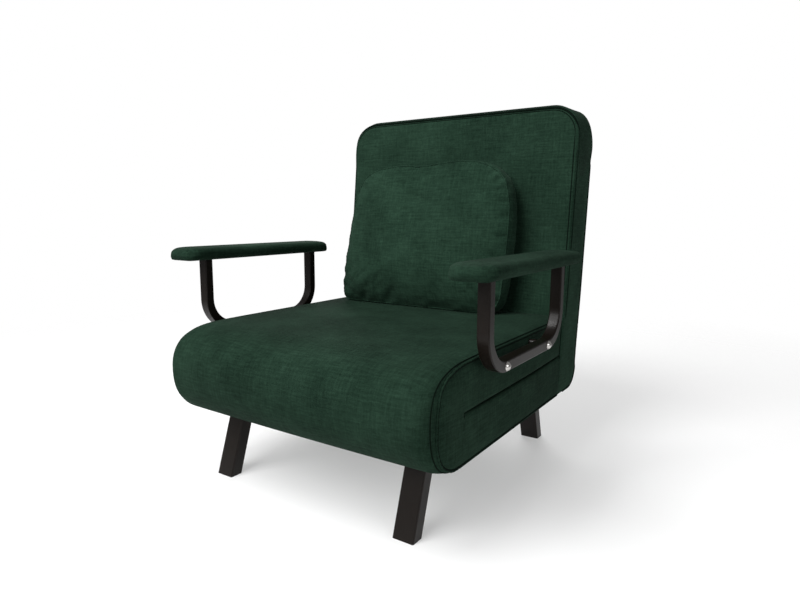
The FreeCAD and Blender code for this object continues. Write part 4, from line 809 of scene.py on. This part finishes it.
def pillow_mesh():
    """The pillow's two faces and its border, before remeshing."""
    around = len(pillow_rim)
    shares = list(1 - np.linspace(1, 0, 30)[1:] ** 1.4)
    verts, faces = [], []

    def add_face(sign):
        start = len(verts)
        verts.append(pillow_point(*PILLOW_MIDDLE, sign * pillow_depth(0)))
        for share in shares:
            for spot in pillow_rim:
                x, w = PILLOW_MIDDLE + (spot - PILLOW_MIDDLE) * share
                sag = SAG * math.exp(-((w - SAG_LINE) / SAG_WIDE) ** 2) * (1 - share ** 5) if sign > 0 else 0
                verts.append(pillow_point(x, w, sign * pillow_depth(share) + sag))
        for j in range(around):
            faces.append((start, start + 1 + j, start + 1 + (j + 1) % around))
        for i in range(len(shares) - 1):
            a = start + 1 + i * around
            b = a + around
            for j in range(around):
                k = (j + 1) % around
                faces.append((a + j, b + j, b + k, a + k))
        return start + 1 + (len(shares) - 1) * around

    ahead = add_face(1)
    behind = add_face(-1)
    last = ahead
    for depth, grow in ((0.5, 3.0), (0.0, 4.0), (-0.5, 3.0)):
        start = len(verts)
        for spot in pillow_rim:
            way = (spot - PILLOW_MIDDLE) / np.linalg.norm(spot - PILLOW_MIDDLE)
            x, w = spot + way * grow
            verts.append(pillow_point(x, w, depth * PILLOW_BORDER))
        for j in range(around):
            k = (j + 1) % around
            faces.append((last + j, start + j, start + k, last + k))
        last = start
    for j in range(around):
        k = (j + 1) % around
        faces.append((last + j, behind + j, behind + k, last + k))
    return new_piece("pillow", row(np.array(verts)), faces)


def pillow_plane(points):
    """Row points as (x, w, depth) of the pillow, in millimetres."""
    x = points[:, 0] * 1000
    dy = points[:, 1] * 1000 - SHIFT - PIVOT[0]
    dz = points[:, 2] * 1000 - PIVOT[1]
    u = dy * math.cos(LEAN) - dz * math.sin(LEAN)
    w = dy * math.sin(LEAN) + dz * math.cos(LEAN)
    return np.column_stack([x, w, PILLOW_U - u])


# Folds pressed into the pillow's front: start, end, half width and depth in millimetres
FOLDS = [
    ((-262, 186), (-204, 158), 8, 3.4), ((-270, 214), (-196, 176), 9, 3.0), ((-258, 246), (-206, 206), 10, 2.2),
    ((-196, 158), (-158, 204), 8, 3.4), ((-120, 158), (-74, 198), 9, 3.0), ((10, 149), (90, 163), 9, 2.2),
    ((186, 172), (120, 196), 8, 3.0), ((196, 206), (140, 236), 9, 2.4), ((202, 330), (172, 322), 5, 2.6),
    ((203, 375), (170, 371), 5, 3.0), ((202, 410), (168, 402), 5, 3.0), ((198, 446), (166, 430), 6, 3.0),
    ((186, 474), (158, 446), 6, 2.8), ((160, 492), (140, 458), 6, 2.4), ((-246, 468), (-210, 440), 7, 2.6),
    ((-268, 418), (-232, 408), 6, 2.2), ((-286, 300), (-250, 296), 6, 2.0), ((-60, 502), (-48, 452), 8, 3.0),
    ((-42, 420), (-120, 396), 14, 2.0), ((-42, 420), (40, 392), 14, 2.0), ((-42, 420), (-52, 350), 14, 1.6),
]
DIMPLES = (((-42, 412), 52, 13.0), ((112, 430), 48, 7.5), ((-150, 440), 44, 3.0))  # place, spread and depth


def fold_shape(flat):
    """Depth of the folds and the dimples at pillow points (x, w)."""
    depth = np.zeros(len(flat))
    for start, end, wide, deep in FOLDS:
        a, b = np.array(start, float), np.array(end, float)
        way = b - a
        t = np.clip(((flat - a) @ way) / (way @ way), 0, 1)
        away = np.linalg.norm(flat - (a + t[:, None] * way), axis=1) / wide
        depth += deep * (1 - t) ** 0.6 * (np.exp(-away ** 2) - 0.3 * np.exp(-((away - 2.1) / 0.9) ** 2))
    for spot, wide, deep in DIMPLES:
        away = np.linalg.norm(flat - np.array(spot, float), axis=1) / wide
        depth += deep * np.exp(-away ** 2)
    return depth


def settle_pillow(points):
    """Keeps the pillow off the seat and the back it leans on."""
    place = pillow_plane(points)
    place[:, 2] = np.maximum(place[:, 2], PILLOW_U + AHEAD + 1.2)
    y, z = back_frame(PILLOW_U - place[:, 2], place[:, 1])
    seat_z = SEAT_HIGH + 9 * seam_rise(place[:, 0]) + 1.0
    return np.column_stack([place[:, 0], y + SHIFT, np.maximum(z, seat_z)]) / 1000


def folded(piece, strength):
    """The pillow's points with the folds and the dimples pressed into its front."""
    points = coordinates(piece)
    place = pillow_plane(points)
    depth = -fold_shape(place[:, :2]) * strength * step(place[:, 2], 8, 28)
    return points + point_normals(piece) * depth[:, None] / 1000


pillow = pillow_mesh()
remesh(pillow, size=0.0052)
free = 0.25 + 0.75 * step(abs(pillow_plane(coordinates(pillow))[:, 2]), 10, 30)
set_coordinates(pillow, folded(pillow, 0.3))
inflate(pillow, free, cap=0.022, pressure=4.2)
ripple(pillow, 0.0022, 11.0, 3)
ripple(pillow, 0.0008, 38.0, 5)
set_coordinates(pillow, settle_pillow(folded(pillow, 1.0)))
subdivide(pillow)


def on_surface(piece, points, lift):
    """Points moved onto the nearest place of a piece's skin, then out by lift; all in working millimetres."""
    tree = BVHTree.FromPolygons([v.co for v in piece.data.vertices], [p.vertices for p in piece.data.polygons])
    out = []
    for point in row(np.array(points, float)):
        spot, normal, _, _ = tree.find_nearest(Vector(point))
        spot = (spot + normal * lift / 1000) * 1000
        out.append((spot.x, spot.y - SHIFT, spot.z))
    return out


# Arm pads

ARM_X = 343.8  # the armrests' line
PAD_HALF = 42  # half a pad's width
PAD_FRONT = -275
PAD_REAR = 183
FLAT_TOP = -28  # the innermost ring that still has round corners


def pad_outline(grow, corner=None):
    """Plan of an arm pad, its ends well rounded, grown by grow."""
    half, front, rear = PAD_HALF + grow, PAD_FRONT - grow, PAD_REAR + grow
    corner = 36 + grow if corner is None else corner
    points = arc(half - corner, front + corner, corner, -90, 0, 10)
    points += arc(half - corner, rear - corner, corner, 0, 90, 10)
    points += arc(-half + corner, rear - corner, corner, 90, 180, 10)
    points += arc(-half + corner, front + corner, corner, 180, 270, 10)
    return even(points, 170, closed=True)


def inset_plan(grow):
    """Plan of the pad's flat top, drawn in beyond its corner radius."""
    loop = pad_outline(FLAT_TOP)
    middle, half_length = -46.0, 230
    loop[:, 0] *= max((PAD_HALF + grow) / (PAD_HALF + FLAT_TOP), 0.05)
    loop[:, 1] = middle + (loop[:, 1] - middle) * (half_length + grow) / (half_length + FLAT_TOP)
    return loop


def arm_pad(name, side):
    """An arm pad's cover from its turned-under rim to its top, its ends drooping a little."""
    # How far each ring is grown, its height and its corner radius
    rings = [(-20, 454.4, 4), (-13, 454.6, 6), (-9, 455.6, 9), (-5.6, 458.2, 17), (-2.8, 461.2, 24), (-0.9, 464.4, 31),
             (0, 467.6, 35), (-0.1, 470.4, None)]
    for turn in np.radians(np.linspace(10, 90, 9)):
        rings.append((-0.1 - 12.5 * (1 - math.cos(turn)), 470.4 + 11.4 * math.sin(turn), None))
    rings += [(-19, 482.5, None), (-26, 482.9, None), (-34, 483.1, None)]
    loops = []
    for grow, z, corner in rings:
        loop = pad_outline(grow, corner) if grow >= FLAT_TOP else inset_plan(grow)
        to_end = np.minimum(loop[:, 1] + 276, 184 - loop[:, 1])
        droop = 5.0 * np.clip(1 - to_end / 46, 0, 1) ** 2 * step(z, 462, 482)
        loops.append(np.column_stack([loop[:, 0] + side * ARM_X, loop[:, 1], z - droop]))
    return loft(name, loops)


for hand, side in SIDES:
    pad = arm_pad(f"arm_pad_cover_{hand}", side)
    dress(pad, weave, "seat")
    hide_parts(f"arm_pad_{hand}")

# Pipings and seams

def cord_line(name, points, radius, sides=8, closed=False, gather=0.0):
    """A cord along working points in space; gather is how much its stitches draw it in."""
    length = np.sum(np.linalg.norm(np.diff(np.array(points, float), axis=0), axis=1))
    path = even(points, max(8, int(length / (2.4 if gather else 7))), closed)
    drawn = 1 - gather * (0.5 + 0.5 * np.sin(np.arange(len(path)) * math.tau / 4))
    if closed:
        way = np.roll(path, -1, axis=0) - np.roll(path, 1, axis=0)
    else:
        way = np.gradient(path, axis=0)
    way /= np.linalg.norm(way, axis=1, keepdims=True)
    helper = np.tile(np.array([1.0, 0.12, 0.07]), (len(path), 1))
    flat = abs(way @ helper[0]) > 0.9
    helper[flat] = (0.07, 1.0, 0.12)
    wide = np.cross(way, helper)
    wide /= np.linalg.norm(wide, axis=1, keepdims=True)
    out = np.cross(way, wide)
    return tube(name, path, wide * drawn[:, None], out * drawn[:, None], radius, sides, closed)


def shadow_cord(name, points, inward, radius, body=None):
    """Painted shade in the fold that a cord lies in: a wider dark cord sunk into the cloth."""
    path = np.array(points, float) + np.array(inward, float)
    return dress(cord_line(name, path, radius), painted_shade_weave, body)


# Cloth, bodies and replaced sub-parts of the blocks

dress(seat_top, weave)
across_front(seat_top)
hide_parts("front_wrap")
dress(seat_block, weave, "seat")
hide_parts("seat_cover", "seat_foam")
dress(base_rear, weave, "base")
dress(base_block, weave, "base")
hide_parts("base_cover", "base_foam")
# The back's block wears the brightened back cloth: painted light
dress(back_block, back_painted_light_weave, "back")
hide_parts("back_cover", "back_foam")
pillow_pieces = [pillow]
PILLOW_LOW = 326.4  # no piping hangs below this height
for label, depth in (("front", PILLOW_BORDER), ("rear", -PILLOW_BORDER)):
    line = [pillow_point(x, w, depth) for x, w in pillow_rim]
    line = [(x, y, max(z, PILLOW_LOW)) for x, y, z in on_surface(pillow, line, 0.5)]
    pillow_pieces.append(cord_line(f"pillow_piping_{label}", line, 1.9, closed=True, gather=0.25))
for piece in pillow_pieces:
    dress(piece, pillow_weave, "pillow")
    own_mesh(piece)
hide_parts("pillow_cover", "pillow_filling")

# Pipings on the chair, each with a dark cord of painted shade along it

outward = -normals_2d(outer_seam)[1:]
front_line = outer_seam[1:] + outward * 0.6
rear_line = skin_rear[skin_rear[:, 1] < back_frame(BEHIND, REACH - 95)[1]]
rear_sunk = 6 * step(back_along(rear_line), REACH - 128, REACH - 96)
for hand, side in SIDES:
    seam_x = side * (SEAM + SIDE_OUT[side] + 0.4)
    front = across_at(seam_x, front_line)
    piping = cord_line(f"front_piping_{hand}", front, 2.6, gather=0.3)
    dress(piping, seam_weave)
    across_front(piping)
    inward = -across_at(side, outward) / math.sqrt(2) * 1.7
    fold_shadow = shadow_cord(f"front_fold_shadow_{hand}", front, inward, 3.5)
    across_front(fold_shadow)
    # A dark cord just inside the side seam: painted shade of the seam's groove
    seam_shade_line = cord_line(f"front_seam_{hand}", on_roll(side * (SEAM - 3.2))[2:-2], 1.1, 6)
    dress(seam_shade_line, painted_shade_weave)
    across_front(seam_shade_line)
    low = [(seam_x, y, 138.8) for y in np.linspace(-218, 257, 60)]
    dress(cord_line(f"base_piping_{hand}", low, 2.2), seam_weave, "base")
    shadow_cord(f"base_fold_shadow_{hand}", low, (-side * 1.3, 0, 1.3), 3.4, "base")
    outs = widening(rear_line, side) - rear_sunk
    rear = [(side * (SEAM + 1.0 + SIDE_OUT[side] + out), y, z) for (y, z), out in zip(rear_line, outs)]
    dress(cord_line(f"back_rear_piping_{hand}", rear, 1.9), seam_weave, "back")
    shadow_cord(f"back_rear_fold_shadow_{hand}", rear, (-side * 1.3, -0.6, 0), 3.0, "back")

# The slit's front ends: dark cords of painted shade below the piping
for hand, side in SIDES:
    tip = [(side * (SEAM + SIDE_OUT[side] + 4.6 + 0.5 * t), -215.5 - 3 * t, SLIT - 1 - 26 * t)
           for t in np.linspace(0, 1, 8)]
    dress(cord_line(f"slit_end_{hand}", tip, 1.3, 6), painted_shade_weave, "base")


def rim(inset, drop, depth):
    """A line round the back's front face: inset from its sides, drop below its top, depth behind its edge."""
    half, corner = BACK_HALF + 1.0 - inset, TOP_CORNER - inset
    top = REACH - drop
    outline = [(-half, w) for w in np.linspace(150, top - corner, 40)]
    outline += arc(-half + corner, top - corner, corner, 180, 90, 16)
    outline += [(x, top) for x in np.linspace(-half + corner, half - corner, 40)[1:-1]]
    outline += arc(half - corner, top - corner, corner, 90, 0, 16)
    outline += [(half, w) for w in np.linspace(top - corner, 150, 40)]
    points = []
    for x, w in outline:
        side = -1 if x < 0 else 1
        wide = (SIDE_OUT[side] + BACK_OUT[side] * float(step(w, *WIDENS))) * float(step(abs(x), *LET_OUT))
        over = min(max(abs(x) - (BACK_HALF - TOP_CORNER), 0), TOP_CORNER)
        below = REACH - TOP_CORNER + math.sqrt(TOP_CORNER ** 2 - over ** 2) - w
        into = min(max(FRONT_ROUND - below, 0), FRONT_ROUND)
        behind = FRONT_ROUND - math.sqrt(FRONT_ROUND ** 2 - into ** 2)
        behind += depth * (1 - float(step(w, top - corner - 25, top - corner + 14)))
        u = FRONT_U + behind - CROWN * float(seam_rise(np.clip(x, -BACK_HALF, BACK_HALF), FRONT_ROUND, BACK_HALF))
        points.append((x + side * wide, *back_frame(u, w)))
    return points


dress(cord_line("back_front_piping", rim(0.0, 7.0, 7.5), 2.3, gather=0.1), seam_weave, "back")
# The dark cords along the back's inner front seam, beside its piping and on its top crest are painted shade of the seam
# lines
dress(cord_line("back_front_seam", rim(6.5, 14.0, 0.0), 1.1, 6), painted_shade_weave, "back")
shadow_cord("back_front_fold_shadow", rim(1.2, 8.4, 8.5), (0, 0, 0), 3.2, "back")
dress(cord_line("back_top_seam", rim(3.0, 0.9, 0.0)[44:-44], 1.2, 6), painted_shade_weave, "back")

# Studio

floor_mesh = bpy.data.meshes.new("floor")
floor_mesh.from_pydata([(-3, -3, 0), (3, -3, 0), (3, 3, 0), (-3, 3, 0)], [], [(0, 1, 2, 3)])
floor = bpy.data.objects.new("floor", floor_mesh)
bpy.context.scene.collection.objects.link(floor)
floor_white, tree, shader, where = start_material("floor_white")
shader.inputs["Base Color"].default_value = (0.58, 0.58, 0.58, 1)
shader.inputs["Emission Color"].default_value = (1, 1, 1, 1)
shader.inputs["Emission Strength"].default_value = 0.36
shader.inputs["Roughness"].default_value = 0.85
# It fades out into the backdrop between 0.28 and 0.8 of its half width.
reach = node(tree, "ShaderNodeVectorMath", operation="LENGTH")
tree.links.new(where.outputs["Object"], reach.inputs[0])
fade = ramp(tree, maths(tree, "DIVIDE", reach.outputs["Value"], 3.0), [(0.28, (1, 1, 1)), (0.8, (0, 0, 0))])
tree.links.new(fade, shader.inputs["Alpha"])
floor_mesh.materials.append(floor_white)

# White to the camera, dimmer as a light
world = bpy.data.worlds.new("studio")
bpy.context.scene.world = world
world.use_nodes = True
tree = world.node_tree
sky = first_node(tree, "BACKGROUND")
backdrop = node(tree, "ShaderNodeBackground")
for light, strength in ((sky, 0.27), (backdrop, 1.0)):
    light.inputs["Color"].default_value = (1, 1, 1, 1)
    light.inputs["Strength"].default_value = strength
seen = node(tree, "ShaderNodeLightPath")
either = node(tree, "ShaderNodeMixShader")
tree.links.new(seen.outputs["Is Camera Ray"], either.inputs[0])
tree.links.new(sky.outputs[0], either.inputs[1])
tree.links.new(backdrop.outputs[0], either.inputs[2])
tree.links.new(either.outputs[0], first_node(tree, "OUTPUT_WORLD").inputs["Surface"])


def lamp(name, place, aim, width, height, power):
    """A rectangular lamp, its places and sizes in metres and its power in watts."""
    light = bpy.data.lights.new(name, "AREA")
    light.shape = "RECTANGLE"
    light.size = width
    light.size_y = height
    light.energy = power
    made = bpy.data.objects.new(name, light)
    made.location = place
    made.rotation_euler = (Vector(aim) - Vector(place)).to_track_quat("-Z", "Y").to_euler()
    bpy.context.scene.collection.objects.link(made)


lamp("key", (-0.8, -2.95, 2.45), (0, 0, 0.35), 2.9, 2.4, 138)
lamp("upper", (-0.3, -1.1, 2.3), (0, 0.25, 0.65), 0.9, 0.9, 33)
lamp("rear", (-1.6, 2.8, 2.0), (0, 0.2, 0.4), 2.4, 2.0, 70)
lamp("side", (2.6, -1.1, 0.9), (0.3, 0.1, 0.3), 1.6, 1.2, 15)

# The camera fitted to the photograph: turned from straight ahead, looking down, tilted
yaw, pitch, roll = (math.radians(turn) for turn in (33.839, 8.319, 0.2191))
ahead = Vector((-math.sin(yaw) * math.cos(pitch), math.cos(yaw) * math.cos(pitch), -math.sin(pitch)))
right = Vector((math.cos(yaw), math.sin(yaw), 0))
upward = right.cross(ahead)
camera_x = right * math.cos(roll) + upward * math.sin(roll)
camera_y = upward * math.cos(roll) - right * math.sin(roll)
lens = bpy.data.cameras.new("camera")
lens.lens = 26.29
lens.sensor_width = 36
CAMERA_PLACE = (0.742, -1.10787, 0.554)
camera = bpy.data.objects.new("camera", lens)
rows = [(camera_x[k], camera_y[k], -ahead[k], CAMERA_PLACE[k]) for k in range(3)]
camera.matrix_world = Matrix((*rows, (0, 0, 0, 1)))
bpy.context.scene.collection.objects.link(camera)
bpy.context.scene.camera = camera
bpy.context.scene.view_settings.view_transform = "Standard"
